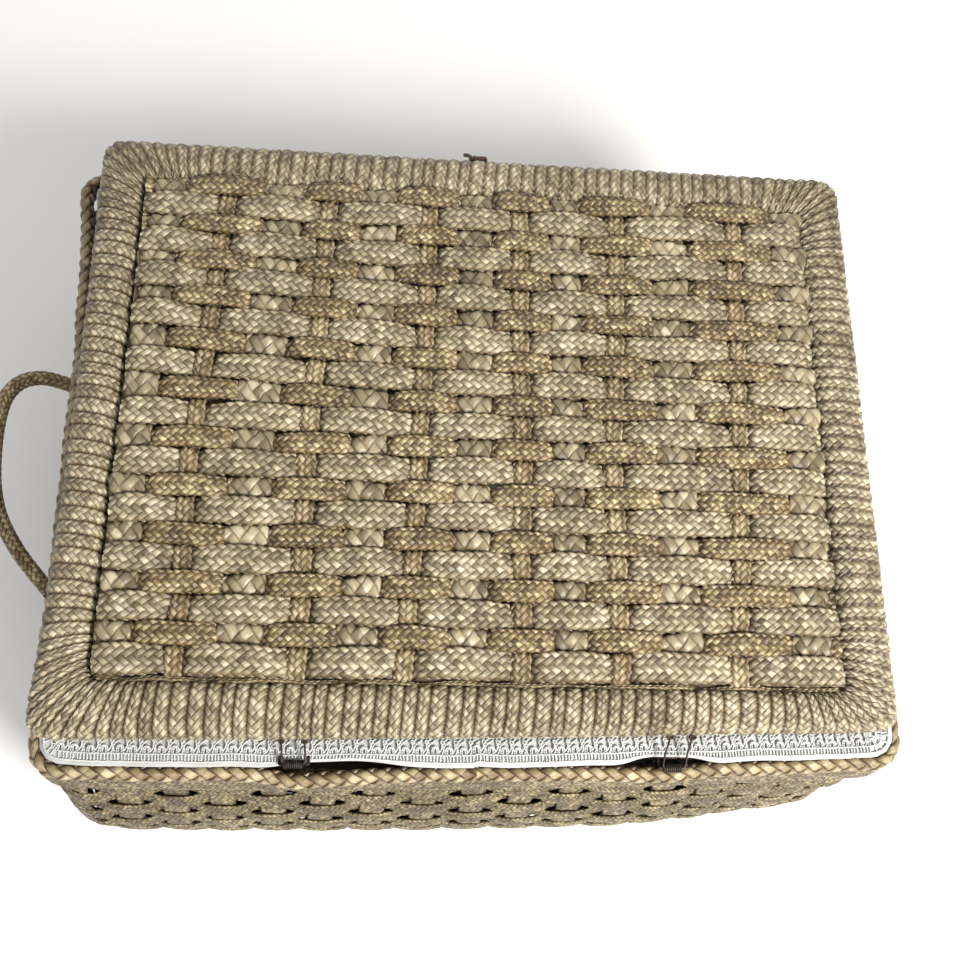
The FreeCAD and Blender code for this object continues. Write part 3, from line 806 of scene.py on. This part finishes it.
def hinge_gap(s, x, y):
    """How far the rim's piping is pushed outwards where the hinges pass, and a gentle wander elsewhere."""
    push = wander(s, 70, 0.25, 5)
    for (hinge_x, _), left, right in zip(HINGES, (10.0, 24.0), (28.0, 12.0)):
        reach = np.where(x < hinge_x, left, right)
        push = push + np.where(y < 0, 1.9 * np.exp(-((x - hinge_x) / reach) ** 2), 0.0)
    return push


def hinge_hollow(x, y):
    """How far the lining's tape has come away from the piping beside the hinges and along the left side."""
    away = np.zeros_like(x)
    for (hinge_x, _), shift, reach, deep in zip(HINGES, (15.0, -1.0), (21.0, 14.0), (2.2, 2.6)):
        away = away + deep * np.exp(-((x - hinge_x - shift) / reach) ** 4)
    return np.where(y < -100, away, 2.8 * np.clip((-x - 120) / 20, 0, 1) * np.clip((y + 60) / 30, 0, 1))


def rim():
    piping = Shape()
    path, out, s = loop_path(152.2, 117.9, 8.8, 105.6, 0.75, drift=hinge_gap)
    path[:, 2] += wander(s, 47, 0.25, 6)
    path = settled(path)
    ribbon(piping, path, unit(UP[None] * 0.85 + out * 0.4), 5.4, 4.2, 3.6, 0.85, stretch=0.92, power=2.1,
           top=18, low=8, closed=True, tone=0.55, shift=2.2)
    place(piping, "rim_piping_plait", "box", "gold", "rim_piping")
    wire = Shape()
    tube(wire, path, 0.95, 8, closed=True)
    place(wire, "rim_wire_hoop", "box", "wire", "rim_wire")

    band = Shape()
    path, out, s = loop_path(154.9, 120.6, 12.0, 98.6, 0.85)
    path[:, 2] += wander(s, 90, 0.3, 8)
    # the negative rim paints light along the band's two sides
    ribbon(band, settled(path), unit(out * 0.97 + UP[None] * 0.24), 10.6, 1.7, 1.45, 0.34, power=3.6, top=20,
           low=6, closed=True, tone=0.55, rim=-0.4)
    place(band, "rim_flat_braid_plait", "box", "wall", "rim_flat_braid")


def lace(shape, place_at, total, wide, scrolls, seed):
    """A gimp of thread: a ladder at its outer side and, if asked, arches and scrolls at its inner side.
    place_at(s, t, h) turns distances along, across (outer side positive) and up into points."""
    rng = np.random.default_rng(seed)
    high = wide / 2 - (0.5 if scrolls else 0.6)
    low = wide / 2 - 3.0 if scrolls else 0.6 - wide / 2

    def thread(s, t, h, radius):
        tube(shape, place_at(s, np.asarray(t, float), np.asarray(h, float)), radius, 5, strand=0.8)
    bars = int(total / 1.15)
    for n in range(bars):
        s = n * total / bars + rng.uniform(-0.12, 0.12)
        lean = rng.uniform(0.05, 0.4)
        along = s + np.array([0, 0.4, 0.7, 1.0]) * lean
        thread(along, np.linspace(low, high, 4), [0.25, 0.62, 0.6, 0.2], 0.3)
    s = np.arange(0, total, 0.9)
    for t, radius in ((high + 0.1, 0.34), (low - 0.05, 0.3)):
        wave = s * FULL_TURN / 1.15
        tube(shape, place_at(s, t + 0.1 * np.sin(wave + 1), 0.5 + 0.12 * np.sin(wave)), radius, 5, True, 0.8)
    if not scrolls:
        return
    arches = int(total / 4.9)
    inner = 0.3 - wide / 2
    turn, bend, curl = (np.linspace(0, end, 9) for end in (math.pi, 1, 5.2))
    for n in range(arches):
        s = n * total / arches + rng.uniform(-0.4, 0.4)
        deep = 2.7 - rng.uniform(-0.3, 0.3)
        for gap in (1.25, 0.62):
            side = low - (deep - (1.25 - gap) * 0.5) * np.sin(turn) ** 0.35
            thread(s - gap * np.cos(turn), side, 0.75 + 0.35 * np.sin(turn), 0.3)
        for k, reach in enumerate((1.5, 2.5, 3.5)):
            run = 2.4 + rng.uniform(-0.3, 0.3)
            sway = 0.8 * np.sin(bend * FULL_TURN * 0.8 + k)
            thread(s + reach - 0.9 + run * bend + sway, low - 0.3 - (low - inner - 0.3 * k) * bend,
                   0.55 + 0.4 * np.sin(bend * math.pi), 0.27)
        thread(s + 2.5 + 0.7 * np.cos(curl), inner + 1.1 + 0.7 * np.sin(curl), 0.8 + 0.1 * curl / 5.2, 0.26)


def gimp():
    """The white lace round the box's mouth, and the narrow ladder braid round the lid's pad."""
    mouth, under = (145.0, 110.5, 2.5), (127.5, 94.75, 6.0)

    def on_rim(s, t, h):
        x, y, nx, ny = around(*mouth, s)
        t = t + wander(s, 55, 0.25, 13) - hinge_hollow(x, y) * np.clip(t / 5.6, 0, 1) ** 1.5
        return settled(np.stack([x + nx * t, y + ny * t, 108.15 + h + wander(s, 38, 0.16, 12)], -1))

    def under_lid(s, t, h):
        x, y, nx, ny = around(*under, s)
        return np.stack([x + nx * t, y + ny * t + LID_SHIFT, 110.1 - h + 0 * x], -1)
    for body, name, plan, place_at, wide, scrolls, seed, side, h in (
        ("box", "lace", mouth, on_rim, 8.8, True, 21, np.linspace(5.6, -5.7, 12), 0.0),
        ("lid", "braid", under, under_lid, 4.6, False, 22, np.linspace(4.8, -2.8, 8), -0.7),
    ):
        threads = Shape()
        lace(threads, place_at, perimeter(*plan), wide, scrolls, seed)
        place(threads, f"{body}_gimp_{name}", body, "lace", f"{body}_gimp")
        tape_ring(body, perimeter(*plan), side, place_at, h)


def tape_ring(body, total, side, place_at, h):
    """The flat ribbon under a gimp: a closed band with a face and a back."""
    s = np.arange(0, total, 1.3)
    faces = []
    for across, high in ((side, h + 0.1), (side[::-1], h - 0.35)):
        grid_s, grid_t = (part.ravel() for part in np.meshgrid(s, across, indexing="ij"))
        face = place_at(grid_s, grid_t, high + 0.1 * np.sin(grid_t * 1.2 + grid_s * 0.3))
        faces.append(face.reshape(len(s), len(side), 3))
    cells = np.meshgrid(np.append(s, total), np.arange(2 * len(side) + 1), indexing="ij")
    tape = Shape()
    tape.grid(np.concatenate(faces, 1), *cells, closed_u=True, closed_v=True)
    place(tape, f"{body}_gimp_tape", body, "ribbon", f"{body}_gimp")


# ---- the woven wall

STAKES = 60
ROWS = 15
ROW_PITCH = 6.38
FIRST_ROW = 4.9
WALL_MIDDLE = 2.4                 # how far the weave's middle lies inside the wall's outer face


def wall_at(z):
    """Half sizes and corner radius of the wall's outer face at one height."""
    share = np.clip(z / WALL_TOP, 0, 1)
    bulge = np.sin(math.pi * share)
    inset = 4.0 - 1.2 * share
    return RIM_X - inset + 9.0 * bulge, RIM_Y - inset + 17.0 * bulge, RIM_R + 9.0 * bulge


def wall_point(share, z, inset):
    """A point on the wall by its share of the way round and its height, and its outward direction."""
    half_x, half_y, radius = wall_at(z)
    total = perimeter(half_x, half_y, radius)
    x, y, nx, ny = around(half_x - inset, half_y - inset, radius - inset, share * (total - FULL_TURN * inset))
    return np.stack([x, y, np.zeros_like(x) + z], -1), np.stack([nx, ny, 0 * nx], -1)


def ease(share):
    share = np.clip(share, 0, 1)
    return share * share * (3 - 2 * share)


def settled(points):
    """The old basket's box has slumped a little: its near side leans, its far left corner has spread and the
    near right one is tucked in below the rim."""
    x, y, z = points[..., 0], points[..., 1], points[..., 2]
    near = np.clip(-y / RIM_Y, 0, 1) ** 1.5
    left, right = ease((-x - 60.0) / (RIM_X - 60.0)), ease((x - 50.0) / 95.0)
    back = np.clip((y + 110.0) / 210.0, 0, 1.05)
    low = np.clip((92.0 - z) / 20.0, 0, 1) * np.clip((z - 7.0) / 22.0, 0, 1)
    side = left * (2.3 - 2.4 * back - 3.9 * back**6) + low * near**2 * (3.5 * left - 11.0 * right**2)
    lean = near * (0.0215 * x + 0.00012 * x * x - 0.4) + 4.5 * low * near * right
    return np.stack([x + side, y + lean, z], -1)


def on_wall(share, z, rise):
    """The middle of a strip on the wall, pushed outwards by rise, and the outward normals there."""
    centre, out = wall_point(share, z, WALL_MIDDLE)
    high, side = wall_point(share, np.minimum(z + 1.0, WALL_TOP), 0.0)
    low, _ = wall_point(share, np.maximum(z - 1.0, 0.0), 0.0)
    normal = unit(np.cross(np.cross(UP[None], side), unit(high - low)))
    normal *= np.sign(np.sum(normal * out, -1, keepdims=True))
    return settled(centre + normal * rise[:, None]), normal


def wall():
    parts = {"even": Shape(), "odd": Shape()}
    for row in range(ROWS):
        z = FIRST_ROW + ROW_PITCH * row
        total = perimeter(*wall_at(z))
        count = int(total / 1.4)
        share = np.arange(count) / count
        tight = min(1.0, 0.25 + z / 40.0)                 # the lowest rows are beaten close
        phase = np.cos(math.pi * (share * STAKES + row % 2))
        level = np.sign(phase) * np.abs(phase) ** 0.55
        heights = z + wander(share * total, 130, 0.5, 500 + row) - 0.35 * level
        path, normal = on_wall(share, heights, 1.2 * tight * level)
        widths = 1.0 + 0.06 * level + wander(share * total, 37, 0.04, 600 + row)
        # the negative rim paints light along each row's two sides
        ribbon(parts["odd" if row % 2 else "even"], path, normal, 7.2, 1.8, 1.35, 0.42, power=2.3, top=11,
               low=4, closed=True, start=row * 17.3, tone=0.5 + RNG.uniform(-0.12, 0.12), widths=widths,
               rim=-0.55)
    stakes = Shape()
    z = np.arange(1.2, WALL_TOP - 0.5, 1.3)
    for n in range(STAKES):
        share = n / STAKES + wander(z, 70, 0.0005, 700 + n)
        path, normal = on_wall(share, z, 0.85 * np.cos(math.pi * ((z - FIRST_ROW) / ROW_PITCH + n + 1)))
        ribbon(stakes, path, normal, 9.4, 1.6, 1.7, 0.3, power=2.8, top=10, low=4, start=n * 9.1,
               tone=0.42 + RNG.uniform(-0.1, 0.1))
    for key, shape in parts.items():
        place(shape, f"wall_rows_{key}", "box", "wall", "wall_weave")
    place(stakes, "wall_stakes", "box", "wall", "wall_weave")


def base():
    """The coarse plain weave under the basket."""
    shape = Shape()
    pitch = 18.6
    columns, rows = np.arange(-7, 8) * pitch, np.arange(-5, 6) * pitch
    for along_x, places, reach in ((True, rows, 150.5), (False, columns, 116.0)):
        s = np.arange(-reach, reach + 0.01, 1.7)
        for n, at in enumerate(places):
            parity = n % 2 + (0 if along_x else 1)
            z = 3.4 + 0.95 * np.cos(math.pi * (s / pitch + parity))
            side = at + wander(s, 90, 0.3, 800 + n + (50 if along_x else 0))
            path = np.stack([s, side, z] if along_x else [side, s, z], 1)
            ribbon(shape, settled(path), -UP, 17.0, 1.6, 2.3, 0.3, power=3.4, top=14, low=4, start=n * 11.0,
                   tone=0.45 + RNG.uniform(-0.1, 0.1))
    place(shape, "base_weave_plaits", "box", "wall", "base_weave")


# ---- handles, hinges, closure

def there_and_back(half, middle, axis):
    """Points out to a middle one, and back as their mirror image on one axis."""
    back = [tuple(-c if n == axis else c for n, c in enumerate(p)) for p in half[::-1]]
    return half + [middle] + back


def handle_wrap(side, key, path, up, size, end_size):
    """The plait round a handle's wire, and the tighter winding at its two ends; sizes are width, thickness,
    strand and relief."""
    shape = Shape()
    ribbon(shape, path, up, *size, stretch=0.8, power=2.1, top=13, low=13, tone=0.46)
    for end in (path[:9], path[-9:]):
        ribbon(shape, end, up, *end_size, power=2.2, top=12, low=12, tone=0.3)
    place(shape, f"{side}_handle_wrap_plait", f"{side}_handle", key, f"{side}_handle_wrap")


def handle_pair():
    """The left handle stands out level, and the right one hangs."""
    z = 66.0
    plan = ((-166.2, 45.0), (-173, 47.2), (-181, 48.8), (-188.6, 47.0), (-193.8, 41.2), (-196.0, 32),
            (-196.2, 18), (-194.4, 1), (-190.2, -13), (-182.4, -26.4), (-173.8, -37), (-166.2, -45.2))
    left = smooth([(x, y, z) for x, y in plan], 22)
    # the left handle gets the brighter straw: painted light where the box shades it
    handle_wrap("left", "handle", left, UP, (5.9, 5.2, 1.6, 0.36), (6.1, 5.8, 1.2, 0.3))
    core = Shape()
    tube(core, np.concatenate([[(-158.5, 45.6, z)], left, [(-158.5, -45.2, z)]]), 1.15, 8)
    place(core, "left_handle_wire", "left_handle", "wire", "left_handle_core")

    drop = math.radians(82.0)
    half = [(1.7, 45.0), (12, 45.4), (24, 43.8), (30.3, 34), (31.5, 18)]
    out, y = smooth(there_and_back(half, (31.5, 0), 1), 24).T
    right = np.stack([164.5 + out * math.cos(drop), y, z - out * math.sin(drop)], 1)
    facing = np.array([math.sin(drop), 0, math.cos(drop)])
    handle_wrap("right", "gold", right, facing, (5.2, 5.2, 1.55, 0.34), (5.9, 5.9, 1.2, 0.3))


def hinge_springs():
    for x, side in HINGES:
        node = f"hinge_spring_{side}"
        shape = Shape()
        turns, radius, wire, coil_half = 9, 1.25, 0.36, 3.3
        angle = np.linspace(0, FULL_TURN * turns, turns * 14)
        coil = np.stack([x - coil_half + 2 * coil_half * angle / angle[-1],
                         HINGE_Y + radius * np.cos(angle + math.pi / 2),
                         HINGE_Z + radius * np.sin(angle + math.pi / 2)], 1)
        top = HINGE_Z + radius
        lean = 1.9 if side == "right" else 0.0
        lid_y = LID_SHIFT - LID_Y + near_edge(x)
        turn = np.linspace(0, FULL_TURN, 13)[:-1]
        for end in (-1, 1):
            leg_x = x + end * 3.9
            leg = smooth([(x + end * coil_half, HINGE_Y, top), (leg_x, HINGE_Y + 0.8, top + 0.25),
                          (leg_x + lean * 0.4, (HINGE_Y + lid_y) / 2, top + 1.8),
                          (leg_x + lean, lid_y - 0.4, top + 4.6), (leg_x + lean, lid_y + 2.0, top + 5.6)], 6)
            tube(shape, leg, wire, 8)
            ties = Shape()
            for number, (size, tilt) in enumerate(((1.1, 0.5), (0.85, -0.4), (1.0, 0.1))):
                ring = np.stack([leg_x + lean + size * np.cos(turn),
                                 lid_y - 0.5 + 0.3 * number + 0.6 * np.sin(turn),
                                 top + 4.7 + tilt * np.cos(turn) + 0.9 * np.sin(turn)], 1)
                tube(ties, ring, 0.28, 6, closed=True)
            key = "gold" if side == "right" and end < 0 else "cord"
            place(ties, f"{node}_tie_{'near' if end < 0 else 'far'}", "lid", key, node, slot="wire_dark")
        tube(shape, coil, wire, 8)
        place(shape, f"{node}_coil", "lid", "wire", node)
        staple = Shape()
        low, wide = HINGE_Z - 16.0, 4.9
        half = [(-wide, -109.6, low), (-wide, -112.2, low), (-wide, -113.0, low + 1.2), (-wide, -113.0, 107.6),
                (-wide, HINGE_Y + 0.5, HINGE_Z - 0.3), (0.5 - wide, HINGE_Y, HINGE_Z)]
        path = smooth(there_and_back(half, (0, HINGE_Y, HINGE_Z), 0), 8)
        tube(staple, path + np.array([x, 0, 0]), 0.5, 8)
        place(staple, f"hinge_staple_{side}_wire", "box", "wire", f"hinge_staple_{side}")


def closure():
    """The wire staple under the lid's front with its lashing, the loop that hangs from it, and the bead."""
    loop_y, loop_z, drop = 126.0, 109.6, math.radians(60.0)
    half = [(0.2, 7.2), (9, 7.4), (20, 7.2), (29, 6.2), (33.2, 3.2)]
    out, x = smooth(there_and_back(half, (34.0, 0), 1) + [(-0.6, 0)], 14, closed=True).T
    path = np.stack([x, loop_y + out * math.cos(drop), loop_z - out * math.sin(drop)], 1)
    loop = Shape()
    facing = np.array([0, math.sin(drop), math.cos(drop)])
    ribbon(loop, path, facing, 2.7, 2.5, 0.72, 0.22, stretch=0.6, power=2.0, top=9, low=9, closed=True, tone=0.5)
    place(loop, "closure_loop_cord", "closure_loop", "cord", "closure_loop")

    staple = Shape()
    half = [(-9.7, 118.5, 117.1), (-9.7, 125.4, 110.2), (-9.1, loop_y, loop_z)]
    tube(staple, smooth(there_and_back(half, (0, loop_y, loop_z), 0), 8), 0.5, 8)
    place(staple, "closure_staple_wire", "lid", "wire", "closure_staple")
    lashing = Shape()
    turn = np.linspace(0, FULL_TURN, 17)[:-1]
    for n in range(5):
        ring = np.stack([-3.6 + 1.35 * n + 0.4 * np.sin(turn), 128.0 + 1.7 * np.cos(turn),
                         115.4 + (1.7 + 0.2 * (n % 2)) * np.sin(turn)], 1)
        tube(lashing, ring, 0.8, 8, closed=True)
    tube(lashing, smooth([(-2.6, 128.2, 116.4), (-4.6, 128.6, 118.2), (-6.6, 127.8, 119.4)], 5), 0.7, 8)
    place(lashing, "closure_staple_lashing", "lid", "cord", "closure_staple")

    bead = Shape()
    rings, spokes = 30, 36
    turn = np.linspace(0, math.pi, rings)
    spin = np.arange(spokes) * FULL_TURN / spokes
    profile = np.array([max(0.0, math.sin(a)) ** 0.85 for a in turn]) * 5.4
    size = np.maximum(profile + 0.12 * np.cos(turn * 16) * np.sin(turn), 0.02)[:, None]
    x = -5.6 * np.cos(turn)[:, None] + 0 * spin[None]
    cells = np.zeros((rings, spokes + 1))
    points = np.stack([x, 131.5 + size * np.cos(spin)[None], 84.0 + size * np.sin(spin)[None]], -1)
    bead.grid(points, cells, cells, closed_v=True, caps=True)
    place(bead, "toggle_bead_turned", "box", "wood", "toggle_bead")


# ---- soft pieces

def pad_face(half_x, half_y, z, deep, count, face, tufts, flat, shift_y=0.0):
    """The domed face of a pad, with its buttons' tufts. face is 1 for up and -1 for down."""
    radius = 6.0
    x, y = np.meshgrid(*(np.linspace(-1, 1, n) for n in count), indexing="ij")
    px, py = x * half_x, y * half_y
    over_x = np.clip(np.abs(px) - (half_x - radius), 0, None)
    over_y = np.clip(np.abs(py) - (half_y - radius), 0, None)
    far = np.hypot(over_x, over_y)
    pull = np.where(far > radius, radius / np.maximum(far, 1e-6), 1.0)
    px = np.sign(px) * (np.minimum(np.abs(px), half_x - radius) + over_x * pull)
    py = np.sign(py) * (np.minimum(np.abs(py), half_y - radius) + over_y * pull)
    border = np.minimum(1 - np.abs(x), (1 - np.abs(y)) * half_y / half_x)
    height = deep * (flat + (1 - flat) * np.clip(border * 9, 0, 1) ** 0.5)
    for tx, ty in tufts:
        near = np.hypot(px - tx, py - ty)
        height = height * (1 - 0.72 * np.exp(-(near / 7.0) ** 2) - 0.18 * np.exp(-(near / 24.0) ** 2))
    return np.stack([px, py + shift_y, z + face * height], -1)


def pad(name, grid, back_z, body, node):
    """Closes a pad's face with a flat back."""
    shape = Shape()
    back = grid.copy()
    back[..., 2] = back_z
    cells = grid[..., 0] / 3.0, grid[..., 1] / 3.0
    upside_down = grid[len(grid) // 2, grid.shape[1] // 2, 2] < back_z
    for side in (grid[::-1], back) if upside_down else (grid, back[::-1]):
        shape.grid(side, *cells)
    obj = place(shape, name, body, "satin", node)
    weld(obj)
    return obj


def weld(obj):
    """Joins the points where the face and the back meet."""
    bm = bmesh.new()
    bm.from_mesh(obj.data)
    bmesh.ops.remove_doubles(bm, verts=bm.verts, dist=0.00002)
    bmesh.ops.recalc_face_normals(bm, faces=bm.faces)
    bm.to_mesh(obj.data)
    bm.free()


CLOTH = {
    "quality": 5, "mass": 0.12, "tension_stiffness": 12, "compression_stiffness": 8, "bending_stiffness": 0.08,
    "use_pressure": True, "vertex_group_mass": "held",
}


def puff(jobs):
    """Runs every padded piece's cloth together, then applies it."""
    scene = bpy.context.scene
    for obj, _, pressure, pinned in jobs:
        group = obj.vertex_groups.new(name="held")
        for vertex in obj.data.vertices:
            if pinned(vertex.co / MM):
                group.add([vertex.index], 1.0, "REPLACE")
        cloth = obj.modifiers.new("cloth", "CLOTH")
        for key, value in CLOTH.items():
            setattr(cloth.settings, key, value)
        cloth.settings.uniform_pressure_force = pressure
        cloth.settings.effector_weights.gravity = 0
        cloth.point_cache.frame_start = 1
        cloth.point_cache.frame_end = 20
    for frame in range(1, 21):
        scene.frame_set(frame)
    graph = bpy.context.evaluated_depsgraph_get()
    for obj, _, _, _ in jobs:
        done = bpy.data.meshes.new_from_object(obj.evaluated_get(graph))
        obj.modifiers.clear()
        obj.data = done
    scene.frame_set(1)


def soften(obj):
    obj.modifiers.new("fine", "SUBSURF").render_levels = 1
    for polygon in obj.data.polygons:
        polygon.use_smooth = True


BUTTONS = [(x, y) for x in (-84.0, 84.0) for y in (-52.0, 52.0)]


def soft_pieces():
    """The padded pieces as jobs for the cloth: the piece, its fill, its pressure, and what is held still."""
    tufts = [(x, y) for x in (-84, -28, 28, 84) for y in (-52, 0, 52)]
    face = pad_face(137.0, 102.5, 8.4, 5.2, (74, 56), 1.0, tufts, 0.35)

    def hold_base(p):
        edge = p.z < 8.6 or abs(p.x) > 134 or abs(p.y) > 99.5
        return edge or any(math.hypot(p.x - a, p.y - b) < 3.2 for a, b in tufts)
    jobs = [(pad("base_pad_quilt", face, 7.7, "box", "base_pad"), 0.45, 3.0, hold_base)]
    face = pad_face(126.6, 93.9, 114.0, 3.4, (78, 60), -1.0, BUTTONS, 0.3, LID_SHIFT)

    def hold_lid(p):
        edge = p.z > 113.9 or abs(p.x) > 124 or abs(p.y - LID_SHIFT) > 91.5
        return edge or any(math.hypot(p.x - a, p.y - LID_SHIFT - b) < 3.4 for a, b in BUTTONS)
    jobs.append((pad("lid_lining_tufted", face, 114.9, "lid", "lid_lining"), 0.5, 3.0, hold_lid))

    def hold_cushion(p):
        return p.z > 109.3 or math.hypot(p.x, p.y - LID_SHIFT) < 2.0
    jobs.append((cushion(), 0.85, 2.0, hold_cushion))
    puff(jobs)
    for obj, fill, _, _ in jobs:
        soften(obj)


def disc(shape, face, back_z, cells_u, cells_v):
    """A round face, given ring by ring from its middle, with a flat back behind it."""
    back = face[::-1].copy()
    back[..., 2] = back_z
    cells = np.meshgrid(cells_u, cells_v, indexing="ij")
    shape.grid(np.concatenate([face, back]), *cells, closed_v=True, caps=True)


def cushion():
    """The round pincushion sewn to the middle of the lid's pad."""
    spokes = 48
    share = np.linspace(0.02, 1, 16)
    spin = np.arange(spokes) * FULL_TURN / spokes
    gather = 1 + 0.035 * np.cos(spin * 8)[None] * share[:, None] ** 2
    radius = 29.0 * share[:, None] * gather
    dome = 10.4 * np.sqrt(np.clip(1 - share**2.4, 0, 1))[:, None] + 0 * spin[None]
    crease = 1 - 0.16 * np.abs(np.cos(spin * 4))[None] ** 6 * np.sin(share * math.pi)[:, None]
    face = np.stack([radius * np.cos(spin), LID_SHIFT + radius * np.sin(spin), 109.6 - dome * crease], -1)
    shape = Shape()
    disc(shape, face, 109.75, np.concatenate([share, 2 - share[::-1]]) * 9, np.append(spin, FULL_TURN) * 3)
    obj = place(shape, "pincushion_stuffed", "lid", "cushion", "pincushion")
    weld(obj)
    return obj


def buttons():
    shape = Shape()
    spin = np.arange(26) * FULL_TURN / 26
    share = np.linspace(0.02, 1, 9)[:, None]
    dome = 1.7 * np.sqrt(np.clip(1 - share**2.2, 0, 1)) + 0.25
    for x, y in BUTTONS:
        face = np.stack([x + 5.3 * share * np.cos(spin), y + LID_SHIFT + 5.3 * share * np.sin(spin),
                         109.75 - dome - 0.05 * np.cos(spin * 13)[None] * share], -1)
        disc(shape, face, 109.9, np.arange(18) * 0.5, np.arange(27) * 0.5)
    place(shape, "lid_buttons_covered", "lid", "button", "lid_buttons")


def wall_lining():
    """The satin inside the box: soft upright gathers, folded out over the boards at the top."""
    profile = [(-0.6, 7.8), (0.0, 12), (0.6, 24), (0.7, 40), (0.7, 56), (0.7, 72), (0.6, 88), (0.4, 100),
               (-0.2, 105.4), (-1.6, 107.1), (-3.6, 107.6), (-6.0, 107.6), (-9.2, 107.4)]
    back = [(-9.0, 106.3), (-6.6, 106.0), (-6.1, 100), (-6.1, 56), (-6.1, 12), (-5.0, 7.7)]
    face = smooth([(d, z, 0.0) for d, z in profile], 5)
    ring = np.concatenate([face[:, :2], np.array(back)])
    plan = 137.7, 103.2, 10.0
    total = perimeter(*plan)
    s = np.arange(0, total, 1.25)
    x, y, nx, ny = around(*plan, s)
    rng = np.random.default_rng(31)
    gather = np.zeros_like(s)
    for _ in range(9):
        waves = rng.integers(60, 170)
        gather += np.sin(FULL_TURN * s * waves / total + rng.uniform(0, FULL_TURN)) / 3.2
    points = []
    for n, (d, z) in enumerate(ring):
        share = min(1.0, max(0.0, (z - 7) / 99.0))
        strength = 0.75 * math.sin(math.pi * share) ** 0.4 if n < len(face) else 0.0
        side = -d - gather * strength * (1.0 if d > 0 else 0.4)
        points.append(settled(np.stack([x + nx * side, y + ny * side, np.zeros_like(x) + z], -1)))
    grid = np.stack(points[::-1], 1)
    shape = Shape()
    cells = np.meshgrid(np.append(s, total), np.arange(len(ring) + 1), indexing="ij")
    shape.grid(grid, *cells, closed_u=True, closed_v=True)
    obj = place(shape, "box_lining_gathered", "box", "satin", "box_lining")


# ---- carried-over CAD nodes, stage and camera

CARRIED = {
    "base_board": "board", "board_front": "board", "board_back": "board", "board_left": "board",
    "board_right": "board", "lid_board": "board", "right_handle_core": "wire", "toggle_peg": "wire",
    "handle_eyes_left": "wire", "handle_eyes_right": "wire",
}


def carried(frame):
    for name, key in CARRIED.items():
        node = frame["nodes"][name]
        node.data.materials.clear()
        node.data.materials.append(LOOK[key])


def stage():
    floor_mesh = bpy.data.meshes.new("floor")
    far = 4.0                     # half the floor's side, in metres
    floor_mesh.from_pydata([(-far, -far, 0), (far, -far, 0), (far, far, 0), (-far, far, 0)], [], [(0, 1, 2, 3)])
    floor = bpy.data.objects.new("floor", floor_mesh)
    bpy.context.scene.collection.objects.link(floor)
    g = Graph("pale_floor")
    cloud = g.noise(g.position(), 2.0)
    floor_mesh.materials.append(g.finish(g.mix(cloud, (0.86, 0.86, 0.86), (0.9, 0.9, 0.9)), 0.9))
    for name, at, size, power, colour in (
        ("key", (0.42, -0.46, 0.62), 0.22, 10.9, (1.0, 0.975, 0.935)),
        ("fill", (-0.1, 1.4, 0.6), 1.4, 7.0, (1.0, 0.98, 0.94)),
        ("front", (0.3, -1.4, 0.8), 1.2, 9.0, (1.0, 1.0, 1.0)),
    ):
        light = bpy.data.lights.new(name, "AREA")
        light.size = size
        light.energy = power
        light.color = colour
        lamp = bpy.data.objects.new(name, light)
        bpy.context.scene.collection.objects.link(lamp)
        lamp.location = at
        lamp.rotation_euler = (-lamp.location).to_track_quat("-Z", "Y").to_euler()
    world = bpy.data.worlds.new("studio")
    bpy.context.scene.world = world
    world.use_nodes = True
    background = world.node_tree.nodes["Background"]
    background.inputs[0].default_value = (1.0, 0.99, 0.965, 1.0)
    background.inputs[1].default_value = 0.52
    bpy.context.scene.view_settings.view_transform = "Standard"


def camera():
    data = bpy.data.cameras.new("camera")
    data.sensor_width = 36.0
    data.lens = 36.04
    data.shift_y = 0.125
    data.clip_start = 0.02
    obj = bpy.data.objects.new("camera", data)
    bpy.context.scene.collection.objects.link(obj)
    obj.location = (-0.0249, -0.1523, 0.4434)
    obj.rotation_euler = (math.radians(15.957), math.radians(-4.466), math.radians(0.125))
    bpy.context.scene.camera = obj


def main():
    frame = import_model()
    materials()
    lid_panel()
    lid_roll()
    rim()
    gimp()
    wall()
    base()
    handle_pair()
    hinge_springs()
    closure()
    buttons()
    wall_lining()
    soft_pieces()
    carried(frame)
    stage()
    camera()


main()
